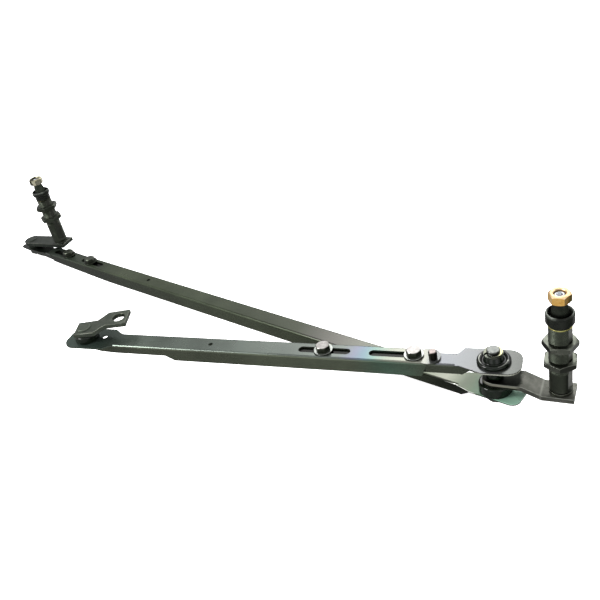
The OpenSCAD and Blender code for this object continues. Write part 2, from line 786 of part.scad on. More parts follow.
// Tie rod, outer channel with the eye at the right lever
module tie_rod_channel() {
    tongue_x = tie_tongue_at + tie_w / 2;
    color("#6b7064") at_left_pin()
        difference() {
            union() {
                channel(tie_w, tie_depth, corner_r, tongue_x, pivot_spacing - tie_narrow_at,
                    tie_outer_top);
                translate([tongue_x, 0, tie_outer_bottom])
                    cylinder(d = tie_w, h = sheet);
                translate([pivot_spacing, 0, 0])
                    rotate([0, 0, 180]) {
                        eye_plate(tie_w, tie_eye_half, tie_eye_end, tie_eye_corner, tie_outer_bottom,
                            tie_flare[0], tie_flare[1]);
                        eye_skirt(tie_w, tie_eye_half, tie_wide_to - 2 * sheet, tie_shallow,
                            tie_outer_top, tie_flare[0], tie_flare[1]);
                    }
            }
            slot_cut(tie_slot_a_from, tie_slot_a_to, tie_outer_bottom);
            slot_cut(tie_slot_b_from, tie_slot_b_to, tie_outer_bottom);
            round_cut(tie_hole_at, tool_hole_d, tie_outer_bottom);
            round_cut(pivot_spacing, bush_neck_d, tie_outer_bottom);
            below_profile([[tongue_x - 1, sheet], [tongue_x, sheet], [tongue_x + 6, tie_depth * 0.64],
                [tie_slot_b_to + 16, tie_depth], [tie_slot_b_to + 18, tie_depth + 1],
                [pivot_spacing - tie_step_to, tie_depth + 1],
                [pivot_spacing - tie_step_from, tie_shallow],
                [pivot_spacing - tie_skirt_to, tie_shallow],
                [pivot_spacing - tie_skirt_from, sheet],
                [pivot_spacing - tie_wide_to + 3 * sheet, sheet]],
                tie_outer_top);
        }
}

module tie_rod_right_bush() {
    color("#1d1e1c") at_right_pin()
        snap_bush(joint_bottom - end_gap, tie_outer_top, tie_outer_bottom, tie_bush_d, bush_neck_d,
            snap_d);
}

// Tie rod, inner channel with the eye at the left lever
module tie_rod_end_channel() {
    color("#5d6257") at_left_pin()
        difference() {
            union() {
                channel(tie_inner_w, inner_depth, inner_corner_r, eye_narrow_at, tie_inner_end,
                    tie_inner_top);
                eye_plate(tie_inner_w, left_eye_half, left_eye_end, left_eye_corner, tie_inner_bottom,
                    even_flare[0], even_flare[1]);
                eye_skirt(tie_inner_w, left_eye_half, -skirt_from + 2, inner_depth, tie_inner_top,
                    even_flare[0], even_flare[1]);
            }
            round_cut(0, left_neck_d, tie_inner_bottom);
            round_cut(tie_bolt_a, bolt_hole_d, tie_inner_bottom);
            round_cut(tie_bolt_b, bolt_hole_d, tie_inner_bottom);
            below_profile([[-left_eye_end - 1, sheet], [-skirt_from + 4, sheet],
                [tie_slot_a_from, inner_depth * 0.86], [tie_inner_end + 1, inner_depth + 0.5]],
                tie_inner_top);
        }
}

module tie_rod_left_bush() {
    color("#1d1e1c") at_left_pin()
        snap_bush(left_lever_bottom - end_gap, tie_inner_top, tie_inner_bottom, left_bush_d, left_neck_d,
            2 * (left_eye_half - sheet - left_snap_gap));
}

module tie_rod_bolts() {
    color("#4c4d49") at_left_pin()
        for (x = [tie_bolt_a, tie_bolt_b])
            translate([x, 0, 0])
                bolt(tie_outer_top + slide_gap + bolt_washer_h, tie_inner_bottom);
}

module tie_rod_washers() {
    color("#8d8e8a") at_left_pin()
        for (x = [tie_bolt_a, tie_bolt_b])
            translate([x, 0, 0])
                ring(bolt_washer_d, bolt_hole_d, tie_outer_top + slide_gap,
                    tie_outer_top + slide_gap + bolt_washer_h);
}

module tie_rod_nuts() {
    color("#77786f") at_left_pin()
        for (x = [tie_bolt_a, tie_bolt_b])
            translate([x, 0, tie_inner_bottom - bolt_nut_h])
                hex_nut(bolt_flats, bolt_d, bolt_nut_h, 0);
}

// Left lever and all that turns with it
module left_lever() {
    color("#3a3b37") at_left_pivot() flat_lever();
}

module left_wiper_shaft() {
    color("#8a8c8c") at_left_pivot() wiper_shaft(left_lever_bottom);
}

module left_thrust_washer() {
    color("#3c3c3a") at_left_pivot() thrust_washer(left_lever_top, left_washer_h);
}

module left_top_washer() {
    color("#c9a45a") at_left_pivot() top_washer();
}

module left_dust_cap() {
    color("#23241f") at_left_pivot() dust_cap(left_cap_band);
}

module left_arm_nut() {
    color("#e3c793") at_left_pivot() arm_nut(20);
}

module left_joint_pin() {
    color("#9a9c9c") at_left_pin()
        hanging_pin(left_lever_top + pin_head_h, left_low_stop - pin_washer_h, left_lever_top);
}

module left_joint_clip() {
    color("#7d7f80") at_left_pin() retaining_ring(left_low_stop - pin_washer_h - clip_h);
}

module left_joint_washer() {
    color("#a5a6a4") at_left_pin() pin_washer(left_low_stop - pin_washer_h);
}

// Left pivot, fixed to the vehicle
module left_pivot_barrel() {
    color("#2c2e2a") at_left_pivot() barrel();
}

module left_lower_panel_nut() {
    color("#4a4b48") at_left_pivot() panel_nut(left_lower_nut_at, 40);
}

module left_upper_panel_nut() {
    color("#4a4b48") at_left_pivot() panel_nut(left_upper_nut_at, 14);
}

module left_lower_bearing_bush() {
    color("#9a8460") at_left_pivot() bearing(0);
}

module left_upper_bearing_bush() {
    color("#9a8460") at_left_pivot() bearing(barrel_len - bearing_len);
}

// Drive rod, inner channel with the eye over the right lever
module drive_rod_end_channel() {
    color("#b9bac0") along_drive()
        difference() {
            union() {
                channel(inner_w, inner_depth, inner_corner_r, max(drive_flare[1]), drive_inner_end,
                    drive_inner_top);
                eye_plate(inner_w, eye_half, eye_end, eye_corner, drive_inner_bottom, drive_flare[0],
                    drive_flare[1]);
                eye_skirt(inner_w, eye_half, min(drive_flare[0]) - 2 * sheet, inner_depth,
                    drive_inner_top, drive_flare[0], drive_flare[1]);
            }
            round_cut(0, bush_neck_d, drive_inner_bottom);
            round_cut(drive_bolt_a, bolt_hole_d, drive_inner_bottom);
            round_cut(drive_bolt_b, bolt_hole_d, drive_inner_bottom);
            below_profile([[min(drive_flare[0]) - 3 * sheet, sheet], [drive_skirt_from, sheet],
                [drive_skirt_to, inner_depth], [drive_skirt_to + 4, inner_depth + 0.5]], drive_inner_top);
        }
}

module drive_rod_right_bush() {
    color("#1d1e1c") at_right_pin() dished_bush();
}

module drive_rod_bolts() {
    color("#8f9096") along_drive()
        for (x = [drive_bolt_a, drive_bolt_b])
            translate([x, 0, 0])
                bolt(drive_outer_top + slide_gap + bolt_washer_h, drive_inner_bottom);
}

module drive_rod_washers() {
    color("#a9abb0") along_drive()
        for (x = [drive_bolt_a, drive_bolt_b])
            translate([x, 0, 0])
                ring(bolt_washer_d, bolt_hole_d, drive_outer_top + slide_gap,
                    drive_outer_top + slide_gap + bolt_washer_h);
}

module drive_rod_nuts() {
    color("#77786f") along_drive()
        for (x = [drive_bolt_a, drive_bolt_b])
            translate([x, 0, drive_inner_bottom - bolt_nut_h])
                hex_nut(bolt_flats, bolt_d, bolt_nut_h, 0);
}

// Drive rod, outer channel with the slots, the stud and the eye under the motor crank
module drive_rod_channel() {
    tongue_x = drive_tongue_at + rod_w / 2;
    color("#8b8f8c") along_drive()
        difference() {
            union() {
                channel(rod_w, rod_depth, corner_r, tongue_x, drive_length - eye_narrow_at, drive_outer_top);
                translate([tongue_x, 0, drive_outer_bottom])
                    cylinder(d = rod_w, h = sheet);
                translate([drive_length, 0, 0])
                    rotate([0, 0, 180]) {
                        eye_plate(rod_w, eye_half, eye_end, eye_corner, drive_outer_bottom,
                            even_flare[0], even_flare[1]);
                        eye_skirt(rod_w, eye_half, skirt_from - 2, rod_shallow, drive_outer_top,
                            even_flare[0], even_flare[1]);
                    }
            }
            slot_cut(drive_slot_a_from, drive_slot_a_to, drive_outer_bottom);
            slot_cut(drive_slot_b_from, drive_slot_b_to, drive_outer_bottom);
            round_cut(drive_hole_at, tool_hole_d, drive_outer_bottom);
            round_cut(drive_length, bush_neck_d, drive_outer_bottom);
            translate([0, -crank_eye_hole_off, 0])
                round_cut(drive_length - crank_eye_hole_at, tool_hole_d + 1.4, drive_outer_bottom);
            translate([stud_at, stud_off, drive_outer_bottom - sheet])
                cylinder(d = stud_d, h = 4 * sheet);
            below_profile([[tongue_x - 1, sheet], [tongue_x, sheet], [tongue_x + 6, rod_depth + 1],
                [drive_step_from, rod_depth + 1], [drive_step_to, rod_shallow],
                [drive_length - eye_narrow_at, rod_shallow],
                [drive_length - eye_wide_to, rod_shallow * skirt_share],
                [drive_length - skirt_from, sheet],
                [drive_length - skirt_from + 4, sheet]],
                drive_outer_top);
        }
}

module adjuster_stud() {
    color("#c4b4b0") along_drive()
        translate([stud_at, stud_off, 0])
            rotate_extrude()
                polygon([[0, drive_outer_bottom], [stud_d / 2, drive_outer_bottom],
                    [stud_d / 2, drive_outer_top + stud_h - 0.8],
                    [stud_d / 2 - 0.8, drive_outer_top + stud_h], [0, drive_outer_top + stud_h]]);
}

module drive_rod_crank_bush() {
    color("#1d1e1c") at_crank_pin()
        snap_bush(crank_bottom - end_gap, drive_outer_top, drive_outer_bottom, bush_d, bush_neck_d, snap_d);
}

// Motor crank with its pin
module motor_crank() {
    reach = crank_radius + crank_motor_tail;
    length = crank_pin_tail + reach;
    color("#3d3f3a") at_crank_pin()
        difference() {
            intersection() {
                translate([0, crank_motor_w, crank_bottom])
                    rotate([90, 0, 0])
                        linear_extrude(2 * crank_motor_w)
                            offset_side(crank_pin_tail, crank_bend_from, crank_bend_to, crank_rise,
                                reach, crank_t);
                translate([-crank_pin_tail, 0, crank_bottom - 1])
                    linear_extrude(crank_rise + crank_t + 2)
                        polygon([[0, -crank_pin_w / 2], [length, -crank_motor_w / 2],
                            [length, crank_motor_w / 2], [0, crank_pin_w / 2]]);
            }
            translate([0, 0, crank_bottom - 1])
                cylinder(d = pin_d, h = crank_t + crank_rise + 2);
            translate([crank_radius, 0, crank_bottom - 1])
                cylinder(d = motor_bore_d, h = crank_t + crank_rise + 2);
        }
}

module crank_pin() {
    color("#9a9c9c") at_crank_pin()
        hanging_pin(crank_top + pin_head_h, crank_low_stop - pin_washer_h, crank_top);
}

module crank_pin_clip() {
    color("#7d7f80") at_crank_pin() retaining_ring(crank_low_stop - pin_washer_h - clip_h);
}

module crank_pin_washer() {
    color("#a5a6a4") at_crank_pin() pin_washer(crank_low_stop - pin_washer_h);
}

right_pivot_barrel();
right_lower_panel_nut();
right_upper_panel_nut();
right_lower_bearing_bush();
right_upper_bearing_bush();
right_lever();
right_wiper_shaft();
right_thrust_washer();
right_top_washer();
right_dust_cap();
right_arm_nut();
right_joint_pin();
right_joint_upper_clip();
right_joint_upper_washer();
right_joint_lower_clip();
right_joint_lower_washer();
tie_rod_channel();
tie_rod_right_bush();
tie_rod_end_channel();
tie_rod_left_bush();
tie_rod_bolts();
tie_rod_washers();
tie_rod_nuts();
left_lever();
left_wiper_shaft();
left_thrust_washer();
left_top_washer();
left_dust_cap();
left_arm_nut();
left_joint_pin();
left_joint_clip();
left_joint_washer();
left_pivot_barrel();
left_lower_panel_nut();
left_upper_panel_nut();
left_lower_bearing_bush();
left_upper_bearing_bush();
drive_rod_end_channel();
drive_rod_right_bush();
drive_rod_bolts();
drive_rod_washers();
drive_rod_nuts();
drive_rod_channel();
adjuster_stud();
drive_rod_crank_bush();
motor_crank();
crank_pin();
crank_pin_clip();
crank_pin_washer();
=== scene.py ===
import math

import bmesh
import bpy
from mathutils import Euler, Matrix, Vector


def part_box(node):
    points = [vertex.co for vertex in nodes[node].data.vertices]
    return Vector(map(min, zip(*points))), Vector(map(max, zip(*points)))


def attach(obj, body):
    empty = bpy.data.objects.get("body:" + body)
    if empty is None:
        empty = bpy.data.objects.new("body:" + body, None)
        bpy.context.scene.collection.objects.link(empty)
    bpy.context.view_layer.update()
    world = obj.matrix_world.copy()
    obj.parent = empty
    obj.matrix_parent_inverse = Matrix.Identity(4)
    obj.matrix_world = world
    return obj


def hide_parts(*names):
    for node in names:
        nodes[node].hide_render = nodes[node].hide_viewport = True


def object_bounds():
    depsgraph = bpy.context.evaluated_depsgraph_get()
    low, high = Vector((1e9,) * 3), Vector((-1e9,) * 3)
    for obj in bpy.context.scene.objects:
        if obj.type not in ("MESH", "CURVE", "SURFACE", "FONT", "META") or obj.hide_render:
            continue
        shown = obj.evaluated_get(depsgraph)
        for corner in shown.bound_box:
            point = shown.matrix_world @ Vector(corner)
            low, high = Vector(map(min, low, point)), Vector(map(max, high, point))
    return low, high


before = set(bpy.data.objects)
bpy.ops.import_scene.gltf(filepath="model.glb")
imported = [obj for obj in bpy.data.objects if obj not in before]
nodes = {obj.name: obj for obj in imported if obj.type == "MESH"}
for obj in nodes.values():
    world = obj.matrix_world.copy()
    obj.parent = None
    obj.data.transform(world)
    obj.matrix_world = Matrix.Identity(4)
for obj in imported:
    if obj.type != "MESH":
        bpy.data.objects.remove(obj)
cad_low, cad_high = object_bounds()


# Pivot barrels
# Steel tubes with an M20 x 1.5 thread from below the lower panel nut to the top, and two milled flats that
# stop them turning in the panel hole. They are turned, threaded, phosphated black and oiled.
MM = 0.001
barrel_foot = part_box("right_pivot_barrel")[0].z
barrel_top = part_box("right_pivot_barrel")[1].z
BARREL_R = 10 * MM
BARREL_BORE_R = 8 * MM
BARREL_CHAMFER = 0.8 * MM
BARREL_PITCH = 1.5 * MM
BARREL_THREAD_DEPTH = 0.55 * MM
BARREL_THREAD_CREST = 0.15
BARREL_THREAD_BELOW_NUT = 6 * MM
BARREL_FLAT_R = 9.1 * MM
BARREL_FLAT_TURN = math.radians(-5)
BARREL_FLAT_FROM = 0.06
BARREL_FLAT_NEAR = 0.03 * MM
BARREL_FLAT_WITHIN = math.radians(60)
BARREL_ROWS_PER_TURN = 8
BARREL_AROUND = 96

# A reach past any piece, for what a flat or a cone then cuts down.
BEYOND = 1.0


def linear(hex_colour):
    """An sRGB hex colour as the linear colour that a shader socket takes."""
    parts = [int(hex_colour[i:i + 2], 16) / 255 for i in (1, 3, 5)]
    return tuple(c / 12.92 if c <= 0.04045 else ((c + 0.055) / 1.055) ** 2.4 for c in parts) + (1,)


def add(tree, kind, settings=None, to=None, **links):
    """Adds one node to a tree. A setting is an attribute, an input's value or a ramp's stops. A link is an
    output, or a node for its first output in use, for the input of that name, or of that number where the
    name is _0, _1 and so on. The new node's own first output in use goes to the socket given as to."""
    node = tree.nodes.new(kind)
    for name, value in (settings or {}).items():
        if name == "stops":
            band = node.color_ramp.elements
            while len(band) < len(value):
                band.new(0.5)
            for element, (place, hex_colour) in zip(band, value):
                element.position = place
                element.color = linear(hex_colour)
        elif isinstance(name, int) or name in node.inputs:
            node.inputs[name].default_value = value
        else:
            setattr(node, name, value)
    pairs = []
    for name, source in links.items():
        key = int(name[1:]) if name[1:].isdigit() else name.replace("_", " ")
        pairs.append((source, node.inputs[key]))
    if to is not None:
        pairs.append((node, to))
    for source, target in pairs:
        if isinstance(source, bpy.types.Node):
            source = next(output for output in source.outputs if output.enabled)
        tree.links.new(source, target)
    return node


def new_material(name, settings):
    """A material with one principled shader, its tree, and that shader's sockets."""
    material = bpy.data.materials.new(name)
    material.use_nodes = True
    tree = material.node_tree
    sockets = tree.nodes["Principled BSDF"].inputs
    for key, value in settings.items():
        sockets[key].default_value = value
    return material, tree, sockets


def place_of(tree, turn=0.0, origin=(0, 0, 0), stretch=(1, 1, 1)):
    """The place on the piece in metres, turned and stretched so that a pattern lies along the piece."""
    where = add(tree, "ShaderNodeTexCoord").outputs["Object"]
    moved = add(tree, "ShaderNodeVectorMath", {"operation": "SUBTRACT", 1: origin}, _0=where)
    turned = add(tree, "ShaderNodeVectorRotate", {"rotation_type": "Z_AXIS", "Angle": -turn}, Vector=moved)
    return add(tree, "ShaderNodeVectorMath", {"operation": "MULTIPLY", 1: stretch}, _0=turned)


# Black phosphate on steel: a crystalline coat that oil turns into a satin black with a faint green cast.
# Handling leaves paler patches some 9 mm across. Crystals of about 0.05 mm are drawn as clumps of 0.8 mm,
# because they would be too fine to show.
PHOSPHATE_CLUMP = 0.8 * MM
PHOSPHATE_RUB = 9 * MM


def phosphate(name, dark, pale, rub_and_highlight, rough_low, rough_high):
    material, tree, sockets = new_material(name, {"Metallic": 1.0})
    here = place_of(tree)
    clump = add(tree, "ShaderNodeTexNoise", {"Scale": 1 / PHOSPHATE_CLUMP, "Detail": 3.0}, Vector=here)
    rub = add(tree, "ShaderNodeTexNoise", {"Scale": 1 / PHOSPHATE_RUB, "Detail": 5.0, "Roughness": 0.6},
              Vector=here)
    add(tree, "ShaderNodeValToRGB", {"stops": [(0.3, dark), (0.55, pale), (0.78, rub_and_highlight)]},
        to=sockets["Base Color"], Fac=rub)
    add(tree, "ShaderNodeMapRange",
        {"From Min": 0.3, "From Max": 0.7, "To Min": rough_high, "To Max": rough_low},
        to=sockets["Roughness"], Value=rub)
    add(tree, "ShaderNodeBump", {"Strength": 0.12, "Distance": 0.03 * MM}, to=sockets["Normal"],
        Height=clump)
    return material


barrel_black = phosphate("black_phosphate_on_turned_steel", "#30342d", "#383c34", "#4a4d45", 0.36, 0.46)
flat_worn = phosphate("rubbed_phosphate_on_milled_flat", "#4b4d47", "#585a53", "#74766e", 0.26, 0.36)
nut_black = phosphate("black_phosphate_on_nut", "#454841", "#50534b", "#6c6e67", 0.24, 0.34)
rubbed_edge = phosphate("bare_steel_on_rubbed_edges", "#5c5e58", "#73756e", "#97988f", 0.26, 0.36)


def mesh_piece(name, body, points, faces, materials, slots=None):
    """A new smooth shaded piece in the row frame that rides on a body."""
    mesh = bpy.data.meshes.new(name)
    mesh.from_pydata(points, [], faces)
    for material in materials:
        mesh.materials.append(material)
    mesh.polygons.foreach_set("use_smooth", [True] * len(faces))
    if slots:
        mesh.polygons.foreach_set("material_index", slots)
    mesh.update()
    piece = bpy.data.objects.new(name, mesh)
    bpy.context.scene.collection.objects.link(piece)
    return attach(piece, body)


def turned_mesh(rows, around, x, y, closed, radius_at=None, start=0.0):
    """Rings of points round an upright axis, joined to a surface. Rows are (radius, z), and radius_at gives
    another radius where it changes with the angle. A profile that isn't closed gets a face at both ends."""
    points = []
    for radius, z in rows:
        for step in range(around):
            angle = start + 2 * math.pi * step / around
            r = radius_at(angle, radius, z) if radius_at else radius
            points.append((x + r * math.cos(angle), y + r * math.sin(angle), z))
    faces = []
    for row in range(len(rows) if closed else len(rows) - 1):
        low, high = row * around, (row + 1) % len(rows) * around
        for step in range(around):
            after = (step + 1) % around
            faces.append((low + step, low + after, high + after, high + step))
    if not closed:
        faces.append(tuple(range(around - 1, -1, -1)))
        faces.append(tuple(range((len(rows) - 1) * around, len(rows) * around)))
    return points, faces


def in_flat(angle):
    """How far the flats let the barrel reach in this direction."""
    lean = abs(math.cos(angle - BARREL_FLAT_TURN))
    return BARREL_FLAT_R / lean if lean > math.cos(BARREL_FLAT_WITHIN) else BEYOND


def make_barrel(name, node, body, x, lower_nut):
    thread_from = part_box(lower_nut)[0].z - BARREL_THREAD_BELOW_NUT
    rows = [(BARREL_BORE_R, barrel_foot), (BARREL_R - BARREL_CHAMFER, barrel_foot)]
    step = BARREL_PITCH / BARREL_ROWS_PER_TURN
    count = int((barrel_top - barrel_foot) / step)
    rows += [(BARREL_R, barrel_foot + step * (i + 0.5)) for i in range(count)]
    rows += [(BARREL_R - BARREL_CHAMFER, barrel_top), (BARREL_BORE_R, barrel_top)]
    flats_from = barrel_foot + BARREL_FLAT_FROM * (barrel_top - barrel_foot)

    def radius_at(angle, radius, z):
        if radius < BARREL_R:
            return radius
        phase = ((z - barrel_foot) / BARREL_PITCH - angle / (2 * math.pi)) % 1.0
        groove = max(0.0, 1 - abs(phase - 0.5) * 2 - BARREL_THREAD_CREST) / (1 - BARREL_THREAD_CREST)
        reach = BARREL_R - BARREL_THREAD_DEPTH * groove if z > thread_from else BARREL_R
        end = min(z - barrel_foot, barrel_top - z)
        reach = min(reach, BARREL_R - BARREL_CHAMFER + end)
        return min(reach, in_flat(angle)) if z > flats_from else reach

    points, faces = turned_mesh(rows, BARREL_AROUND, x, 0.0, True, radius_at)
    slots = []
    for face in faces:
        middle = sum((Vector(points[i]) for i in face), Vector()) / 4
        angle = math.atan2(middle.y, middle.x - x)
        reach = math.hypot(middle.x - x, middle.y)
        on_flat = middle.z > flats_from and abs(reach - in_flat(angle)) < BARREL_FLAT_NEAR
        slots.append(1 if on_flat else 0)
    piece = mesh_piece(name, body, points, faces, [barrel_black, flat_worn], slots)
    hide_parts(node)
    return piece


left_low, left_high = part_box("left_pivot_barrel")
LEFT_X = (left_low.x + left_high.x) / 2
make_barrel("right_threaded_barrel", "right_pivot_barrel", "right_pivot", 0.0, "right_lower_panel_nut")
make_barrel("left_threaded_barrel", "left_pivot_barrel", "left_pivot", LEFT_X, "left_lower_panel_nut")


# Panel nuts
# Low hexagon nuts of 27 mm across flats with turned chamfers, two on each barrel, that clamp the panel.
# Phosphated like the barrels. On the right pivot the spanner has rubbed their edges bare.
WELD_REACH = 0.01 * MM
FLAT_WITHIN = math.radians(0.6)


def dress(node, material, edge=None, width=0.3, angle=28, segments=2):
    """Gives a solid its finish, joins its split faces and breaks its sharp edges by a width in mm. An edge
    is sharp from an angle in degrees on."""
    piece = nodes[node]
    piece.data.materials.clear()
    piece.data.materials.append(material)
    if edge:
        piece.data.materials.append(edge)
    weld = piece.modifiers.new("joined_faces", "WELD")
    weld.merge_threshold = WELD_REACH
    flat = piece.modifiers.new("plain_faces", "DECIMATE")
    flat.decimate_type = "DISSOLVE"
    flat.angle_limit = FLAT_WITHIN
    bevel = piece.modifiers.new("broken_edges", "BEVEL")
    bevel.width = width * MM
    bevel.segments = segments
    bevel.limit_method = "ANGLE"
    bevel.angle_limit = math.radians(angle)
    bevel.use_clamp_overlap = True
    bevel.miter_outer = "MITER_ARC"
    if edge:
        bevel.material = 1
    normal = piece.modifiers.new("even_faces", "WEIGHTED_NORMAL")
    normal.keep_sharp = False
    normal.weight = 60


for level in ("lower", "upper"):
    dress(f"right_{level}_panel_nut", nut_black, rubbed_edge, 0.28)
    dress(f"left_{level}_panel_nut", barrel_black, nut_black, 0.28)


# Bearing bushes
# Two sintered bronze sleeves pressed into each barrel, soaked with oil, in which the wiper shaft turns.
# Brown bronze with open pores of about 0.2 mm, drawn at 0.5 mm so that they show.
BRONZE_PORE = 0.5 * MM
bronze, tree, sockets = new_material("oiled_sintered_bronze", {"Metallic": 1.0, "Roughness": 0.4})
pores = add(tree, "ShaderNodeTexVoronoi", {"Scale": 1 / BRONZE_PORE}, Vector=place_of(tree))
add(tree, "ShaderNodeValToRGB", {"stops": [(0.1, "#3a2c1a"), (0.4, "#8d7149")]},
    to=sockets["Base Color"], Fac=pores)
add(tree, "ShaderNodeBump", {"Strength": 0.4, "Distance": 0.05 * MM}, to=sockets["Normal"], Height=pores)
for side in ("right", "left"):
    for level in ("lower", "upper"):
        dress(f"{side}_{level}_bearing_bush", bronze, None, 0.2)


# Levers
# Blanked 5 mm steel plates, riveted to the shafts. The right one has an offset bend, and its coat is worn to
# scuffed grey steel, painted black round the joint pin as the shadow of the drive rod's eye. The left one is
# flat and still black.
SCUFF_LENGTH = 9 * MM
SCUFF_WIDTH = 0.5 * MM
STAIN_SIZE = 11 * MM
LEVER_TURN = math.radians(195.5)
LEVER_THICK = 5 * MM
PIN_SHADE_REACH = 24.5 * MM
PIN_SHADE_WANDER = 8 * MM
PIN_SHADE_FADE_FROM = PIN_SHADE_REACH + 2.5 * MM
PIN_SHADE_FADE_TO = PIN_SHADE_REACH + 6 * MM
BEND_HIGHLIGHT_AT = 14.8 * MM
BEND_HIGHLIGHT_WIDTH = 2.6 * MM
lever_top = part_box("right_lever")[1].z
right_pin_low, right_pin_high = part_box("right_joint_pin")
RIGHT_PIN = ((right_pin_low.x + right_pin_high.x) / 2, (right_pin_low.y + right_pin_high.y) / 2, 0)

# Bare mild steel plate: mid grey, dulled by handling, with short scuffs, and a painted highlight along the
# lower bend.
lever_grey, tree, sockets = new_material("scuffed_steel_with_painted_shade_and_highlight", {"Metallic": 1.0})
lever_grain = place_of(tree, LEVER_TURN, (0, 0, 0), (1 / SCUFF_LENGTH, 1 / SCUFF_WIDTH, 1 / SCUFF_WIDTH))
scuff = add(tree, "ShaderNodeTexNoise", {"Scale": 1.0, "Detail": 4.0, "Roughness": 0.6}, Vector=lever_grain)
stain = add(tree, "ShaderNodeTexNoise", {"Scale": 1 / STAIN_SIZE, "Detail": 5.0, "Roughness": 0.66},
            Vector=place_of(tree))
plate_tone = add(tree, "ShaderNodeValToRGB",
                 {"stops": [(0.32, "#494a44"), (0.5, "#555650"), (0.68, "#62625c")]}, Fac=stain)
scuff_mark = add(tree, "ShaderNodeValToRGB", {"stops": [(0.58, "#000000"), (0.78, "#7a7a7a")]}, Fac=scuff)
scuffed = add(tree, "ShaderNodeMix", {"data_type": "RGBA", 7: linear("#83837c")}, _0=scuff_mark,
              _6=plate_tone)
from_shaft = add(tree, "ShaderNodeSeparateXYZ", Vector=place_of(tree, LEVER_TURN))
bend_place = add(tree, "ShaderNodeMapRange",
                 {"From Min": BEND_HIGHLIGHT_AT, "From Max": BEND_HIGHLIGHT_AT + BEND_HIGHLIGHT_WIDTH},
                 Value=from_shaft.outputs["X"])
# The pale band across the lever at the lower bend is a painted highlight.
bend_highlight = add(tree, "ShaderNodeValToRGB",
               {"stops": [(0.0, "#000000"), (0.4, "#a0a0a0"), (0.6, "#a0a0a0"), (1.0, "#000000")]},
               Fac=bend_place)
rub_and_highlight = add(tree, "ShaderNodeMix", {"data_type": "RGBA", 7: linear("#8e8f88")}, _0=bend_highlight, _6=scuffed)

# Round the pin the faces are painted black as the shadow of the drive rod's eye. Of the cut edge only the
# upper part is painted pale as lit, and the rest dark as shade.
from_pin = add(tree, "ShaderNodeVectorMath", {"operation": "LENGTH"},
               _0=place_of(tree, 0.0, RIGHT_PIN, (1, 1, 0)))
pin_shade_edge = add(tree, "ShaderNodeMath", {"operation": "MULTIPLY_ADD", 1: PIN_SHADE_WANDER}, _0=stain, _2=from_pin)
clear_of_pin_shade = add(tree, "ShaderNodeMapRange", {"From Min": PIN_SHADE_FADE_FROM, "From Max": PIN_SHADE_FADE_TO},
            Value=pin_shade_edge)
height = add(tree, "ShaderNodeSeparateXYZ", Vector=place_of(tree))
up_edge = add(tree, "ShaderNodeMapRange", {"From Min": lever_top - LEVER_THICK, "From Max": lever_top},
              Value=height.outputs["Z"])
painted_shade_near_pin = add(tree, "ShaderNodeValToRGB",
               {"stops": [(0.0, "#1b1d18"), (0.4, "#20221c"), (0.55, "#8e8e80"), (0.86, "#8e8e80"),
                          (0.97, "#161814")]}, Fac=up_edge)
add(tree, "ShaderNodeMix", {"data_type": "RGBA"}, to=sockets["Base Color"], _0=clear_of_pin_shade, _6=painted_shade_near_pin, _7=rub_and_highlight)
add(tree, "ShaderNodeMapRange", {"From Min": 0.3, "From Max": 0.7, "To Min": 0.5, "To Max": 0.38},
    to=sockets["Roughness"], Value=stain)
add(tree, "ShaderNodeBump", {"Strength": 0.3, "Distance": 0.05 * MM}, to=sockets["Normal"], Height=scuff)
plate_black = phosphate("black_phosphate_on_pressed_plate", "#2d322d", "#363b35", "#4c514a", 0.34, 0.46)
dress("right_lever", lever_grey, rubbed_edge, 0.5)
dress("left_lever", plate_black, rubbed_edge, 0.5)


# Wiper shafts
# Turned 12 mm steel shafts, riveted over under the lever. A rolled knurl on the taper grips the wiper arm,
# and an M10 thread over it takes the arm nut. The end has the lathe's centre hole.
SHAFT_R = 6 * MM
RIVET_HEAD_MM = ((5.6, 0.0), (6.8, 0.0), (7.6, 0.5), (8.0, 1.2))
RIVET_R = 8 * MM
COLLAR_R = 8 * MM
COLLAR_UP = 1.7 * MM
COLLAR_EDGE = 0.9 * MM
TAPER_UP = 11.7 * MM
TAPER_TOP_R = 5.4 * MM
TAPER_STEPS = 10
SHAFT_THREAD_R = 5 * MM
SHAFT_POINT = 0.8 * MM
CENTRE_HOLE_MM = ((2.0, 0.0), (1.2, 1.2), (0.5, 1.6))
KNURL_TEETH = 54
KNURL_DEPTH = 0.38 * MM
KNURL_STOP = 0.2 * MM
SHAFT_AROUND = KNURL_TEETH * 4
TURNING_PITCH = 0.35 * MM
TURNING_RUN = 6 * MM
OIL_FILM = 4 * MM


def turned_steel(name, dark, pale, rough):
    """Turned bright steel: fine rings from the tool, 0.35 mm apart, in a slightly oiled grey."""
    material, tree, sockets = new_material(name, {"Metallic": 1.0, "Roughness": rough})
    rings = place_of(tree, 0.0, (0, 0, 0), (1 / TURNING_RUN, 1 / TURNING_RUN, 1 / TURNING_PITCH))
    line = add(tree, "ShaderNodeTexNoise", {"Scale": 1.0, "Detail": 2.0}, Vector=rings)
    film = add(tree, "ShaderNodeTexNoise", {"Scale": 1 / OIL_FILM, "Detail": 4.0}, Vector=place_of(tree))
    add(tree, "ShaderNodeValToRGB", {"stops": [(0.35, dark), (0.65, pale)]}, to=sockets["Base Color"],
        Fac=film)
    add(tree, "ShaderNodeBump", {"Strength": 0.3, "Distance": 0.03 * MM}, to=sockets["Normal"], Height=line)
    return material


shaft_steel = turned_steel("turned_bright_steel", "#777c82", "#9ba0a6", 0.3)
taper_black = phosphate("black_oxide_on_knurled_taper", "#252823", "#31352e", "#41453d", 0.3, 0.4)


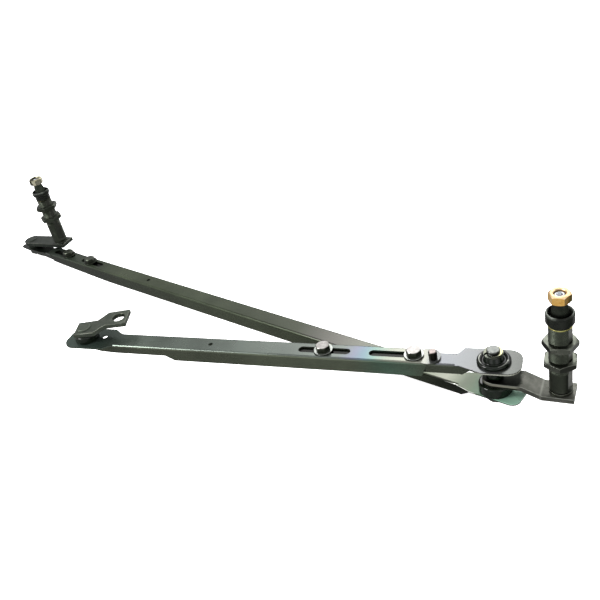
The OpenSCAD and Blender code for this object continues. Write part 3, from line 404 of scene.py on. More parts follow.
def make_shaft(name, node, body, x, lever_low):
    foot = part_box(node)[0].z
    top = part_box("right_wiper_shaft")[1].z
    collar = barrel_top + COLLAR_UP
    taper = barrel_top + TAPER_UP
    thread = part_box("right_arm_nut")[0].z
    rows = [(r * MM, foot + up * MM) for r, up in RIVET_HEAD_MM]
    rows += [(RIVET_R, lever_low), (SHAFT_R, lever_low), (SHAFT_R, collar), (COLLAR_R, collar),
             (COLLAR_R, taper - COLLAR_EDGE), (COLLAR_R, taper)]
    for step in range(1, TAPER_STEPS + 1):
        share = step / TAPER_STEPS
        rows.append((COLLAR_R + (TAPER_TOP_R - COLLAR_R) * share, taper + (thread - taper) * share))
    rows += [(SHAFT_THREAD_R, thread), (SHAFT_THREAD_R, top - SHAFT_POINT),
             (SHAFT_THREAD_R - SHAFT_POINT, top)]
    rows += [(r * MM, top - down * MM) for r, down in CENTRE_HOLE_MM]

    def radius_at(angle, radius, z):
        if taper <= z < thread - KNURL_STOP:
            tooth = abs((angle * KNURL_TEETH / (2 * math.pi)) % 1.0 - 0.5) * 2
            return radius - KNURL_DEPTH * tooth
        return radius

    points, faces = turned_mesh(rows, SHAFT_AROUND, x, 0.0, False, radius_at)
    slots = []
    for face in faces:
        z = sum(points[i][2] for i in face) / len(face)
        slots.append(1 if collar < z < thread else 0)
    piece = mesh_piece(name, body, points, faces, [shaft_steel, taper_black], slots)
    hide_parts(node)
    return piece


make_shaft("right_knurled_shaft", "right_wiper_shaft", "right_crank", 0.0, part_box("right_lever")[0].z)
make_shaft("left_knurled_shaft", "left_wiper_shaft", "left_crank", LEFT_X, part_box("left_lever")[0].z)


# Thrust and top washers
# A black washer between lever and barrel, and a yellow zinc washer that seals the barrel under the cap.
# Yellow passivated zinc is a pale gold with a greenish to reddish shimmer in patches of a few millimetres.
YELLOW_PATCH = 5 * MM
yellow_zinc, tree, sockets = new_material("yellow_passivated_zinc", {"Metallic": 1.0, "Roughness": 0.26})
shimmer = add(tree, "ShaderNodeTexNoise", {"Scale": 1 / YELLOW_PATCH, "Detail": 3.0}, Vector=place_of(tree))
add(tree, "ShaderNodeValToRGB", {"stops": [(0.3, "#9c9a5a"), (0.5, "#b5b274"), (0.7, "#a89a62")]},
    to=sockets["Base Color"], Fac=shimmer)
oily_zinc = phosphate("oil_blackened_yellow_zinc", "#26271c", "#34352a", "#5c5a3c", 0.28, 0.36)
for side in ("right", "left"):
    dress(f"{side}_thrust_washer", nut_black, None, 0.25)
dress("right_top_washer", yellow_zinc, None, 0.25)
dress("left_top_washer", oily_zinc, None, 0.25)


# Dust caps
# Moulded rubber cups pressed on the shaft collars, with a rolled rim round the foot of the taper.
# Black rubber has a soft gloss, a fine moulded grain of about 0.4 mm and a little grey bloom.
RUBBER_GRAIN = 0.4 * MM
RUBBER_BLOOM = 7 * MM
CAP_LIT_TURN = math.radians(46)
cap_low, cap_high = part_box("right_dust_cap")
cap_top = cap_high.z
cap_r = (cap_high.x - cap_low.x) / 2
rubber, tree, sockets = new_material("moulded_black_rubber", {"IOR": 1.5, "Specular IOR Level": 0.13})
here = place_of(tree)
grain = add(tree, "ShaderNodeTexNoise", {"Scale": 1 / RUBBER_GRAIN, "Detail": 2.0}, Vector=here)
bloom = add(tree, "ShaderNodeTexNoise", {"Scale": 1 / RUBBER_BLOOM, "Detail": 4.0}, Vector=here)
tone = add(tree, "ShaderNodeValToRGB", {"stops": [(0.35, "#090b08"), (0.7, "#11140f")]}, Fac=bloom)

# Two opposite sides of the right cap are painted pale grey at the rim and inside the cup, as highlights.
CAP_LIT_FROM = 6 * MM
CAP_LIT_TO = 10 * MM
CAP_RIM = 2.2 * MM
CAP_RIM_LIT = 0.4 * MM
CAP_WALL = 1.2 * MM
CAP_WALL_MIDDLE = 0.6 * MM
CAP_INSIDE_LIT_LOW = 6 * MM
CAP_INSIDE_LIT_HIGH = 2 * MM
height = add(tree, "ShaderNodeSeparateXYZ", Vector=here)
sideways = add(tree, "ShaderNodeSeparateXYZ", Vector=place_of(tree, CAP_LIT_TURN))
off_middle = add(tree, "ShaderNodeMath", {"operation": "ABSOLUTE"}, _0=sideways.outputs["X"])
at_lit_side = add(tree, "ShaderNodeMapRange", {"From Min": CAP_LIT_FROM, "From Max": CAP_LIT_TO},
              Value=off_middle)
at_rim = add(tree, "ShaderNodeMapRange", {"From Min": cap_top - CAP_RIM, "From Max": cap_top - CAP_RIM_LIT},
             Value=height.outputs["Z"])
in_patch = add(tree, "ShaderNodeMapRange", {"From Min": 0.42, "From Max": 0.62}, Value=bloom)
rim_highlight_patch = add(tree, "ShaderNodeMath", {"operation": "MULTIPLY"}, _0=at_rim, _1=in_patch)
rim_highlight = add(tree, "ShaderNodeMath", {"operation": "MULTIPLY"}, _0=rim_highlight_patch, _1=at_lit_side)
rim_highlighted_tone = add(tree, "ShaderNodeMix", {"data_type": "RGBA", 7: linear("#4a4e48")}, _0=rim_highlight, _6=tone)
from_axis = add(tree, "ShaderNodeVectorMath", {"operation": "LENGTH"},
                _0=place_of(tree, 0.0, (0, 0, 0), (1, 1, 0)))
inside_cup = add(tree, "ShaderNodeMapRange",
                 {"From Min": cap_r - CAP_WALL, "From Max": cap_r - CAP_WALL_MIDDLE, "To Min": 1.0,
                  "To Max": 0.0}, Value=from_axis)
high_up = add(tree, "ShaderNodeMapRange",
              {"From Min": cap_top - CAP_INSIDE_LIT_LOW, "From Max": cap_top - CAP_INSIDE_LIT_HIGH},
              Value=height.outputs["Z"])
high_inside = add(tree, "ShaderNodeMath", {"operation": "MULTIPLY"}, _0=inside_cup, _1=high_up)
inside_highlight = add(tree, "ShaderNodeMath", {"operation": "MULTIPLY"}, _0=high_inside, _1=at_lit_side)
add(tree, "ShaderNodeMix", {"data_type": "RGBA", 7: linear("#6f746d")}, to=sockets["Base Color"],
    _0=inside_highlight, _6=rim_highlighted_tone)
add(tree, "ShaderNodeMapRange", {"To Min": 0.2, "To Max": 0.34}, to=sockets["Roughness"], Value=bloom)
add(tree, "ShaderNodeBump", {"Strength": 0.25, "Distance": 0.04 * MM}, to=sockets["Normal"], Height=grain)
for side in ("right", "left"):
    dress(f"{side}_dust_cap", rubber, None, 0.5, 20, 3)


# Arm nuts
# Hexagon nuts of 17 mm across flats that hold the wiper arms, of free cutting brass with a satin surface.
# Brass is a warm yellow; turning leaves fine rings and handling darkens it in patches of some 6 mm.
BRASS_PATCH = 6 * MM
BRASS_RING_PITCH = 0.3 * MM
ARM_NUT_FLAT_R = 8.5 * MM
ARM_NUT_FACE_R = 7.7 * MM
ARM_NUT_BORE_R = 5.02 * MM
ARM_NUT_COUNTERSINK = 0.7 * MM
ARM_NUT_CHAMFER = math.radians(30)
ARM_NUT_AROUND = 96
ARM_NUT_SHARP = math.radians(16)
SHADE_WANDER = 6 * MM
NO_SHADE = -50 * MM


def satin_brass(name, x, tones, rough, shade_to=NO_SHADE, shade_tone="#3a3826", lit_side=46):
    """Brass with fine tool rings, painted dark on one side as shade. The lit side faces a turn in degrees,
    and the painted shade reaches that way as far as shade_to from the axis at x."""
    material, tree, sockets = new_material(name, {"Metallic": 1.0, "Roughness": rough})
    tarnish = add(tree, "ShaderNodeTexNoise", {"Scale": 1 / BRASS_PATCH, "Detail": 5.0, "Roughness": 0.6},
                  Vector=place_of(tree))
    tone = add(tree, "ShaderNodeValToRGB", {"stops": list(zip((0.3, 0.5, 0.7), tones))}, Fac=tarnish)
    across = add(tree, "ShaderNodeSeparateXYZ", Vector=place_of(tree, math.radians(lit_side), (x, 0, 0)))
    brass_shade_edge = add(tree, "ShaderNodeMath", {"operation": "MULTIPLY_ADD", 1: SHADE_WANDER}, _0=tarnish,
                   _2=across.outputs["X"])
    brass_lit_part = add(tree, "ShaderNodeMapRange", {"From Min": shade_to + 2 * MM, "From Max": shade_to + 4 * MM},
                Value=brass_shade_edge)
    add(tree, "ShaderNodeMix", {"data_type": "RGBA", 6: linear(shade_tone)}, to=sockets["Base Color"],
        _0=brass_lit_part, _7=tone)
    rings = place_of(tree, 0.0, (0, 0, 0), (1 / BRASS_PATCH, 1 / BRASS_PATCH, 1 / BRASS_RING_PITCH))
    line = add(tree, "ShaderNodeTexNoise", {"Scale": 1.0, "Detail": 2.0}, Vector=rings)
    add(tree, "ShaderNodeBump", {"Strength": 0.2, "Distance": 0.02 * MM}, to=sockets["Normal"], Height=line)
    return material


def make_arm_nut(name, node, body, x, turn, materials):
    """A hexagon whose corners are turned off in a cone at both ends, so that the flats end in arcs."""
    foot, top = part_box(node)[0].z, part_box(node)[1].z
    sink = ARM_NUT_BORE_R + ARM_NUT_COUNTERSINK
    rows = [(sink, top), (ARM_NUT_BORE_R, top - ARM_NUT_COUNTERSINK),
            (ARM_NUT_BORE_R, foot + ARM_NUT_COUNTERSINK), (sink, foot), (ARM_NUT_FACE_R, foot),
            (BEYOND, foot), (BEYOND, top), (ARM_NUT_FACE_R, top)]
    flats_row = rows.index((BEYOND, foot))

    def radius_at(angle, radius, z):
        lean = (angle - turn) % (math.pi / 3) - math.pi / 6
        return min(radius, ARM_NUT_FLAT_R / math.cos(lean))

    points, faces = turned_mesh(rows, ARM_NUT_AROUND, x, 0.0, True, radius_at, turn)
    for row in (flats_row, flats_row + 1):
        for i in range(row * ARM_NUT_AROUND, (row + 1) * ARM_NUT_AROUND):
            px, py = points[i][:2]
            drop = (math.hypot(px - x, py) - ARM_NUT_FACE_R) * math.tan(ARM_NUT_CHAMFER)
            points[i] = (px, py, foot + drop if row == flats_row else top - drop)
    slots = [0 if i // ARM_NUT_AROUND == flats_row else 1 for i in range(len(faces))]
    piece = mesh_piece(name, body, points, faces, materials, slots)
    piece.data.set_sharp_from_angle(angle=ARM_NUT_SHARP)
    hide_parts(node)
    return piece


# On each nut one side of the flats is painted darker as shade. The turned ends are painted paler as a lit
# top on the right nut, and darker as a shaded top on the left nut.
right_nut_brass = [satin_brass("drawn_brass_flats", 0.0, ("#d9a552", "#ecbb66", "#f3cd85"), 0.24,
                               -4.5 * MM, "#967f36", 226),
                   satin_brass("turned_brass_ends", 0.0, ("#b79a70", "#c2a67e", "#cbb392"), 0.4)]
left_nut_brass = [satin_brass("shaded_drawn_brass_flats", LEFT_X, ("#c9c3a4", "#d8d3b8", "#e4e0c8"), 0.24,
                              -4 * MM),
                  satin_brass("shaded_turned_brass_ends", LEFT_X, ("#7d7862", "#8c8770", "#9a957e"), 0.44,
                              -1 * MM)]
make_arm_nut("right_chamfered_arm_nut", "right_arm_nut", "right_crank", 0.0, math.radians(15),
             right_nut_brass)
make_arm_nut("left_chamfered_arm_nut", "left_arm_nut", "left_crank", LEFT_X, math.radians(20),
             left_nut_brass)


# Joint pins and their rings
# Turned pins riveted in the levers and the crank, with a washer and a retaining ring at each free end.
# The ring over the drive rod is yellow passivated under black grease, those below are oiled spring steel.
LIT_RING_TURN = math.radians(38)
LIT_RING_FROM = 3 * MM
LIT_RING_WANDER = 3 * MM
spring_steel = turned_steel("oiled_spring_steel", "#33352f", "#484b45", 0.34)
pin_steel = turned_steel("turned_pin_steel", "#484a48", "#585a57", 0.32)
crank_grey = phosphate("worn_phosphate_on_motor_crank", "#42483f", "#4c5249", "#646960", 0.36, 0.48)
dress("right_joint_pin", pin_steel, None, 0.25)
dress("left_joint_pin", plate_black, None, 0.25)
dress("crank_pin", crank_grey, None, 0.25)
for node in ("right_joint_lower_clip", "left_joint_clip", "crank_pin_clip"):
    dress(node, spring_steel, None, 0.2)

# Yellow zinc under grease: dark and glossy where the grease lies, and dull gold on the right side only,
# where the gold stands as a painted highlight.
ring_zinc, tree, sockets = new_material("greased_yellow_zinc_ring", {"Metallic": 1.0, "Roughness": 0.24})
ring_place = add(tree, "ShaderNodeSeparateXYZ", Vector=place_of(tree, LIT_RING_TURN, RIGHT_PIN))
ring_film = add(tree, "ShaderNodeTexNoise", {"Scale": 1 / YELLOW_PATCH, "Detail": 3.0},
                Vector=place_of(tree))
ring_edge = add(tree, "ShaderNodeMath", {"operation": "MULTIPLY_ADD", 1: LIT_RING_WANDER}, _0=ring_film,
                _2=ring_place.outputs["X"])
ring_lit_side = add(tree, "ShaderNodeMapRange",
                 {"From Min": LIT_RING_FROM + 1 * MM, "From Max": LIT_RING_FROM + 2 * MM},
                 Value=ring_edge)
add(tree, "ShaderNodeMix", {"data_type": "RGBA", 6: linear("#45473e"), 7: linear("#73725a")},
    to=sockets["Base Color"], _0=ring_lit_side)
dress("right_joint_upper_clip", ring_zinc, None, 0.25)
dress("right_joint_upper_washer", nut_black, None, 0.2)


# Pressed channel rods
# Both rods are two channels pressed from 2 mm sheet, one inside the other, so that bolts in slots set their
# length. They are zinc plated with an olive passivation that runs to blue, pink and straw where it is thin.
ROD_GRAIN_LENGTH = 60 * MM
ROD_GRAIN_WIDTH = 0.9 * MM
ROD_CLOUD = 45 * MM
ROD_WANDER = 30 * MM
ROD_REACH = 800 * MM
ROD_BEFORE_PIN = 30 * MM
ROD_BEND_LOW = 1.2 * MM
ROD_BEND_HIGH = 0.5 * MM
ROD_FADE = 20 * MM
ROD_FILM_METALLIC = 0.7
ROD_MATT_METALLIC = 0.15
DRIVE_TURN = math.radians(199.8)
TIE_TURN = math.radians(180)
left_pin_low, left_pin_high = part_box("left_joint_pin")
LEFT_PIN = ((left_pin_low.x + left_pin_high.x) / 2, (left_pin_low.y + left_pin_high.y) / 2, 0)


def passivated_sheet(name, origin, turn, web_z, web, side, covered_from=None, matt_to=None, shine=0.5):
    """Olive passivated zinc on rolled sheet: a grey green metal with long rolling lines and soft clouds,
    under a film that scatters a part of the light. The hue on the web and on the sides changes with the
    distance in mm from the pin. Beyond covered_from the sheet lies inside the other channel and is near
    black. Up to matt_to the film is thick, green and nearly matt, and the bend gets a pale painted
    highlight; further on the bend is painted dark as shade. Shine is how strongly the film reflects."""
    material, tree, sockets = new_material(name, {"Metallic": ROD_FILM_METALLIC,
                                                  "Specular IOR Level": shine})
    along = place_of(tree, turn, origin)
    lines = place_of(tree, turn, origin, (1 / ROD_GRAIN_LENGTH, 1 / ROD_GRAIN_WIDTH, 1 / ROD_GRAIN_WIDTH))
    rolling = add(tree, "ShaderNodeTexNoise", {"Scale": 1.0, "Detail": 3.0}, Vector=lines)
    cloud = add(tree, "ShaderNodeTexNoise", {"Scale": 1 / ROD_CLOUD, "Detail": 4.0, "Roughness": 0.55},
                Vector=along)
    place = add(tree, "ShaderNodeSeparateXYZ", Vector=along)
    from_pin, up = place.outputs["X"], place.outputs["Z"]
    wander = add(tree, "ShaderNodeMath", {"operation": "MULTIPLY_ADD", 1: ROD_WANDER}, _0=cloud, _2=from_pin)
    share = add(tree, "ShaderNodeMapRange",
                {"From Min": ROD_WANDER / 2 - ROD_BEFORE_PIN, "From Max": ROD_WANDER / 2 + ROD_REACH},
                Value=wander)
    span = ROD_REACH + ROD_BEFORE_PIN
    web_hue, side_hue = [
        add(tree, "ShaderNodeValToRGB", {"stops": [((s * MM + ROD_BEFORE_PIN) / span, c) for s, c in hues]},
            Fac=share) for hues in (web, side)]
    on_web = add(tree, "ShaderNodeMapRange",
                 {"From Min": web_z - ROD_BEND_LOW, "From Max": web_z - ROD_BEND_HIGH}, Value=up)
    hue = add(tree, "ShaderNodeMix", {"data_type": "RGBA"}, _0=on_web, _6=side_hue, _7=web_hue)
    clouding = add(tree, "ShaderNodeValToRGB", {"stops": [(0.3, "#d6d6d6"), (0.7, "#ffffff")]}, Fac=cloud)
    coat = add(tree, "ShaderNodeMix", {"data_type": "RGBA", "blend_type": "MULTIPLY", 0: 1.0},
               _6=hue, _7=clouding)
    if covered_from:
        inside = add(tree, "ShaderNodeMapRange",
                     {"From Min": covered_from - 1 * MM, "From Max": covered_from}, Value=from_pin)
        coat = add(tree, "ShaderNodeMix", {"data_type": "RGBA", 7: linear("#0d0e0b")}, _0=inside, _6=coat)
        add(tree, "ShaderNodeMapRange", {"To Min": ROD_FILM_METALLIC, "To Max": 1.0}, to=sockets["Metallic"],
            Value=inside)
    if matt_to:
        add(tree, "ShaderNodeMapRange", {"From Min": matt_to - ROD_FADE, "From Max": matt_to,
                                         "To Min": ROD_MATT_METALLIC, "To Max": ROD_FILM_METALLIC},
            to=sockets["Metallic"], Value=from_pin)
        # The pale band on the bend beside the eye is a painted highlight; further on the bend is painted
        # dark as shade.
        bend = add(tree, "ShaderNodeValToRGB",
                   {"stops": [(0.0, "#000000"), (0.3, "#ffffff"), (0.7, "#ffffff"), (1.0, "#000000")]},
                   Fac=on_web)
        reach = add(tree, "ShaderNodeMapRange", {"From Max": matt_to}, Value=from_pin)
        beside_eye = add(tree, "ShaderNodeValToRGB",
                         {"stops": [(0.26, "#000000"), (0.36, "#ffffff"), (0.8, "#ffffff"),
                                    (1.0, "#000000")]}, Fac=reach)
        rub_and_highlight = add(tree, "ShaderNodeMath", {"operation": "MULTIPLY"}, _0=bend, _1=beside_eye)
        coat = add(tree, "ShaderNodeMix", {"data_type": "RGBA", 7: linear("#d4d6cf")}, _0=rub_and_highlight, _6=coat)
        beyond = add(tree, "ShaderNodeMapRange",
                     {"From Min": matt_to, "From Max": matt_to + ROD_FADE, "To Max": 0.75}, Value=from_pin)
        bend_painted_shade = add(tree, "ShaderNodeMath", {"operation": "MULTIPLY"}, _0=bend, _1=beyond)
        coat = add(tree, "ShaderNodeMix", {"data_type": "RGBA", 7: linear("#20241c")}, _0=bend_painted_shade, _6=coat)
    tree.links.new(coat.outputs[2], sockets["Base Color"])
    add(tree, "ShaderNodeMapRange", {"From Min": 0.3, "From Max": 0.7, "To Min": 0.2, "To Max": 0.29},
        to=sockets["Roughness"], Value=cloud)
    add(tree, "ShaderNodeBump", {"Strength": 0.15, "Distance": 0.03 * MM}, to=sockets["Normal"],
        Height=rolling)
    return material


DRIVE_WEB = [(56, "#4e504f"), (66, "#6a6b63"), (80, "#68695f"), (96, "#60655a"), (110, "#4e635c"),
             (121, "#475961"), (131, "#505360"), (146, "#4c524d"), (340, "#4b534c"), (390, "#535c54"),
             (420, "#404d46")]
DRIVE_SIDE = [(60, "#3a4034"), (98, "#3c5144"), (130, "#474d3f"), (210, "#474d3f"), (260, "#3a3f33"),
              (400, "#3c4135")]
EYE_WEB = [(-24, "#353734"), (-8, "#3e403d"), (14, "#4a4c4c"), (60, "#515357")]
EYE_SIDE = [(-24, "#a6a89c"), (13, "#a6a89c"), (18, "#363b30"), (60, "#363b30")]
TIE_WEB = [(-24, "#7c9a89"), (-8, "#6d8b7a"), (8, "#476150"), (24, "#56614f"), (46, "#5c5e55"),
           (80, "#4c5245"), (160, "#4f504a"), (190, "#484743"), (240, "#31352b"), (310, "#32372b"),
           (400, "#3e4536"), (560, "#434a3a"), (690, "#333b33")]
# The tie rod's sides are painted near black for some 35 mm from the pin, as shadow under the lever and the
# drive rod's eye.
TIE_SIDE = [(0, "#0c0f0b"), (34, "#10130e"), (60, "#2c3127"), (300, "#3d4335"), (420, "#383e31"),
            (540, "#2b3026"), (690, "#1b2018")]
TIE_END = [(0, "#171c17"), (120, "#232a23")]
drive_web_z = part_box("drive_rod_channel")[1].z
eye_web_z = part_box("drive_rod_end_channel")[1].z
tie_web_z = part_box("tie_rod_channel")[1].z
end_web_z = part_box("tie_rod_end_channel")[1].z
drive_zinc = passivated_sheet("olive_zinc_on_drive_rod", RIGHT_PIN, DRIVE_TURN, drive_web_z, DRIVE_WEB,
                              DRIVE_SIDE)
eye_zinc = passivated_sheet("olive_zinc_on_drive_rod_end", RIGHT_PIN, DRIVE_TURN, eye_web_z, EYE_WEB,
                            EYE_SIDE, covered_from=62 * MM)
tie_zinc = passivated_sheet("olive_zinc_on_tie_rod", RIGHT_PIN, TIE_TURN, tie_web_z, TIE_WEB, TIE_SIDE,
                            matt_to=50 * MM, shine=0.1)
end_zinc = passivated_sheet("olive_zinc_on_tie_rod_end", LEFT_PIN, 0.0, end_web_z, TIE_END, TIE_END,
                            covered_from=55 * MM)
sheared_edge = turned_steel("bare_sheared_edge", "#565850", "#696b63", 0.34)
dress("tie_rod_channel", tie_zinc)
dress("tie_rod_end_channel", end_zinc)
dress("drive_rod_end_channel", eye_zinc, sheared_edge)
dress("drive_rod_channel", drive_zinc, sheared_edge)


# Joint bushes
# Moulded bearings snapped into the eyes of the rods, of black nylon wiped with grease.
# Greased nylon is a deep glossy black with soft streaks of thicker grease about 4 mm wide.
GREASE_STREAK = 4 * MM
nylon, tree, sockets = new_material("greased_black_nylon", {"IOR": 1.53, "Specular IOR Level": 0.16})
streak = add(tree, "ShaderNodeTexNoise", {"Scale": 1 / GREASE_STREAK, "Detail": 3.0}, Vector=place_of(tree))
add(tree, "ShaderNodeValToRGB", {"stops": [(0.35, "#060b06"), (0.7, "#0c120b")]}, to=sockets["Base Color"],
    Fac=streak)
add(tree, "ShaderNodeMapRange", {"To Min": 0.05, "To Max": 0.11}, to=sockets["Roughness"], Value=streak)
for node in ("tie_rod_right_bush", "tie_rod_left_bush", "drive_rod_crank_bush"):
    dress(node, nylon, None, 0.6, 14, 3)

# The bush over the drive rod has a rolled ring round a dish, and a cone that carries the washer.
# Fresh grease on parts of the ring is a wet film that mirrors the light in thin bright arcs.
wet_grease, tree, sockets = new_material("wet_grease_on_nylon", {"Metallic": 1.0, "Roughness": 0.12})
smears = add(tree, "ShaderNodeTexNoise", {"Scale": 1 / GREASE_STREAK, "Detail": 2.0}, Vector=place_of(tree))
add(tree, "ShaderNodeValToRGB", {"stops": [(0.35, "#3c3e3a"), (0.65, "#555752")]}, to=sockets["Base Color"],
    Fac=smears)
BUSH_AROUND = 128
BUSH_BORE_R = 6.15 * MM
BUSH_SLEEVE_MM = ((7.2, 0.0), (8.0, 0.8))
BUSH_SNAP_LIP_MM = ((8.0, -3.4), (9.2, -3.4), (10.6, -1.8), (10.6, 0.0), (9.0, 0.0))
BUSH_NECK_R = 9 * MM
BUSH_FLANGE_EDGE = 0.5 * MM
BUSH_FLANGE_UP = 0.6 * MM
BUSH_RING_UP = 3.8 * MM
BUSH_RING_R = 2.3 * MM
BUSH_RING_SWEEP = math.radians(150)
BUSH_RING_STEPS = 16
BUSH_DISH_R = 1.2 * MM
BUSH_DISH_SWEEP = math.radians(120)
BUSH_DISH_STEPS = 8
BUSH_CONE_MM = ((8.2, -0.7), (7.6, 0.0))
BUSH_SHARP = math.radians(35)
EYE_SHEET = 2 * MM
WET_ROWS = range(7, 12)
WET_ARCS = ((176, 238), (312, 360), (0, 12))
bush_low, bush_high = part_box("drive_rod_right_bush")
flange_r = (bush_high.x - bush_low.x) / 2
lip_z = eye_web_z - EYE_SHEET
bush_rows = [(BUSH_BORE_R, bush_low.z)]
bush_rows += [(r * MM, bush_low.z + up * MM) for r, up in BUSH_SLEEVE_MM]
bush_rows += [(r * MM, lip_z + up * MM) for r, up in BUSH_SNAP_LIP_MM]
bush_rows += [(BUSH_NECK_R, eye_web_z), (flange_r - BUSH_FLANGE_EDGE, eye_web_z),
              (flange_r, eye_web_z + BUSH_FLANGE_UP)]
first_ring_row = len(bush_rows)
ring_r = flange_r - BUSH_RING_R
ring_z = eye_web_z + BUSH_RING_UP - BUSH_RING_R
for step in range(BUSH_RING_STEPS + 1):
    angle = BUSH_RING_SWEEP * step / BUSH_RING_STEPS
    bush_rows.append((ring_r + BUSH_RING_R * math.cos(angle), ring_z + BUSH_RING_R * math.sin(angle)))
dish_r = bush_rows[-1][0] + BUSH_DISH_R * math.cos(BUSH_RING_SWEEP)
dish_z = bush_rows[-1][1] + BUSH_DISH_R * math.sin(BUSH_RING_SWEEP)
for step in range(1, BUSH_DISH_STEPS + 1):
    angle = BUSH_RING_SWEEP - math.pi - BUSH_DISH_SWEEP * step / BUSH_DISH_STEPS
    bush_rows.append((dish_r + BUSH_DISH_R * math.cos(angle), dish_z + BUSH_DISH_R * math.sin(angle)))
bush_rows += [(r * MM, bush_high.z + up * MM) for r, up in BUSH_CONE_MM]
bush_rows.append((BUSH_BORE_R, bush_high.z))
bush_points, bush_faces = turned_mesh(bush_rows, BUSH_AROUND, RIGHT_PIN[0], RIGHT_PIN[1], True)
bush_slots = []
for face in range(len(bush_faces)):
    row, step = divmod(face, BUSH_AROUND)
    at = 360 * step / BUSH_AROUND
    in_arc = any(start < at < end for start, end in WET_ARCS)
    bush_slots.append(1 if in_arc and row - first_ring_row in WET_ROWS else 0)
bush = mesh_piece("drive_rod_domed_bush", "drive_rod_end", bush_points, bush_faces, [nylon, wet_grease],
                  bush_slots)
bush.data.set_sharp_from_angle(angle=BUSH_SHARP)
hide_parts("drive_rod_right_bush")


# Rod bolts
# M8 bolts of 13 mm across flats, forged with a turned chamfer, with washers above the slots and nuts inside
# the inner channels. They are zinc plated, a pale spangled grey on top, with their sides painted dark as
# shade.
ZINC_SPANGLE = 1.5 * MM
BOLT_HEAD = 5.3 * MM
BOLT_FLAT_R = 6.5 * MM
BOLT_FACE_R = 6.2 * MM
BOLT_SHANK_R = 4 * MM
BOLT_POINT = 0.8 * MM
BOLT_CHAMFER = 1.1 * MM
BOLT_CHAMFER_SLOPE = 1.25
BOLT_CHAMFER_STEPS = 4
BOLT_AROUND = 72
BOLT_SHARP = math.radians(24)
BOLT_TOP_NEAR = 0.01 * MM


def zinc_with_shaded_sides(name, node, side_shade, dark, pale, rough):
    """Zinc plate, a pale spangled grey on top of a node, and painted dark below it as shade on the sides."""
    material, tree, sockets = new_material(name, {"Metallic": 1.0, "Roughness": rough})
    here = place_of(tree)
    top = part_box(node)[1].z if node else BEYOND
    spangle = add(tree, "ShaderNodeTexVoronoi", {"Scale": 1 / ZINC_SPANGLE}, Vector=here)
    bright = add(tree, "ShaderNodeValToRGB", {"stops": [(0.2, dark), (0.8, pale)]},
                 Fac=spangle.outputs["Color"])
    height = add(tree, "ShaderNodeSeparateXYZ", Vector=here)
    top_face_mask = add(tree, "ShaderNodeMapRange", {"From Min": top - 0.6 * MM, "From Max": top - 0.1 * MM},
                     Value=height.outputs["Z"])
    add(tree, "ShaderNodeMix", {"data_type": "RGBA", 6: linear(side_shade)}, to=sockets["Base Color"],
        _0=top_face_mask, _7=bright)
    return material


def make_bolts(name, node, body, material, turn):
    """Bolts with chamfered heads in the place of the plain ones of a node."""
    spots = [v.co for v in nodes[node].data.vertices]
    top = max(v.z for v in spots)
    foot = min(v.z for v in spots)
    seat = top - BOLT_HEAD
    along = Vector((math.cos(turn), math.sin(turn)))
    heads = [v for v in spots if v.z > top - BOLT_TOP_NEAR]
    middle = sum((v.xy for v in heads), Vector((0, 0))) / len(heads)
    points, faces = [], []
    for part in (-1, 1):
        group = [v.xy for v in heads if (v.xy - middle).dot(along) * part > 0]
        low = Vector((min(v.x for v in group), min(v.y for v in group)))
        high = Vector((max(v.x for v in group), max(v.y for v in group)))
        x, y = (low + high) / 2
        rows = [(BOLT_SHANK_R - BOLT_POINT, foot), (BOLT_SHANK_R, foot + BOLT_POINT), (BOLT_SHANK_R, seat),
                (BEYOND, seat)]
        for step in range(BOLT_CHAMFER_STEPS + 1):
            rows.append((BEYOND, top - BOLT_CHAMFER + BOLT_CHAMFER * step / BOLT_CHAMFER_STEPS))

        def radius_at(angle, radius, z):
            if radius < BEYOND:
                return radius
            lean = (angle - turn) % (math.pi / 3) - math.pi / 6
            return min(BOLT_FLAT_R / math.cos(lean), BOLT_FACE_R + (top - z) * BOLT_CHAMFER_SLOPE)

        more_points, more_faces = turned_mesh(rows, BOLT_AROUND, x, y, False, radius_at, turn)
        faces += [tuple(i + len(points) for i in face) for face in more_faces]
        points += more_points
    piece = mesh_piece(name, body, points, faces, [material])
    piece.data.set_sharp_from_angle(angle=BOLT_SHARP)
    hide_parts(node)
    return piece


drive_bolt_zinc = zinc_with_shaded_sides("zinc_on_drive_bolts_shaded_sides", "drive_rod_bolts", "#33382f", "#5f5d5b",
                             "#716f6d", 0.28)
tie_bolt_zinc = zinc_with_shaded_sides("zinc_on_tie_bolts_shaded_sides", "tie_rod_bolts", "#33372f", "#3f433b", "#4c5047", 0.36)
washer_zinc = zinc_with_shaded_sides("zinc_on_washers_shaded_sides", "drive_rod_washers", "#2a2d28", "#6c6f6c", "#848782",
                         0.28)
stud_zinc = zinc_with_shaded_sides("zinc_on_stud_shaded_sides", "adjuster_stud", "#1d1e17", "#5c5653", "#6b6360", 0.3)
dull_zinc = zinc_with_shaded_sides("dulled_zinc_on_hidden_fasteners", None, "#41443c", "#3f423d", "#555850", 0.38)
make_bolts("drive_rod_hex_bolts", "drive_rod_bolts", "drive_rod_end", drive_bolt_zinc, DRIVE_TURN)
make_bolts("tie_rod_hex_bolts", "tie_rod_bolts", "tie_rod_end", tie_bolt_zinc, TIE_TURN)
dress("drive_rod_washers", washer_zinc, None, 0.3)
dress("adjuster_stud", stud_zinc, None, 0.25)
dress("tie_rod_washers", tie_bolt_zinc, None, 0.25)
for node in ("drive_rod_nuts", "tie_rod_nuts", "right_joint_lower_washer", "left_joint_washer",
             "crank_pin_washer"):
    dress(node, dull_zinc, None, 0.25)


# Motor crank
# A 5 mm plate with an offset bend, black phosphated, that clamps on the motor shaft at its raised end.
# Its coat is worn to a greenish grey, and its edges are a little shinier.
dress("motor_crank", crank_grey, nut_black, 0.5)


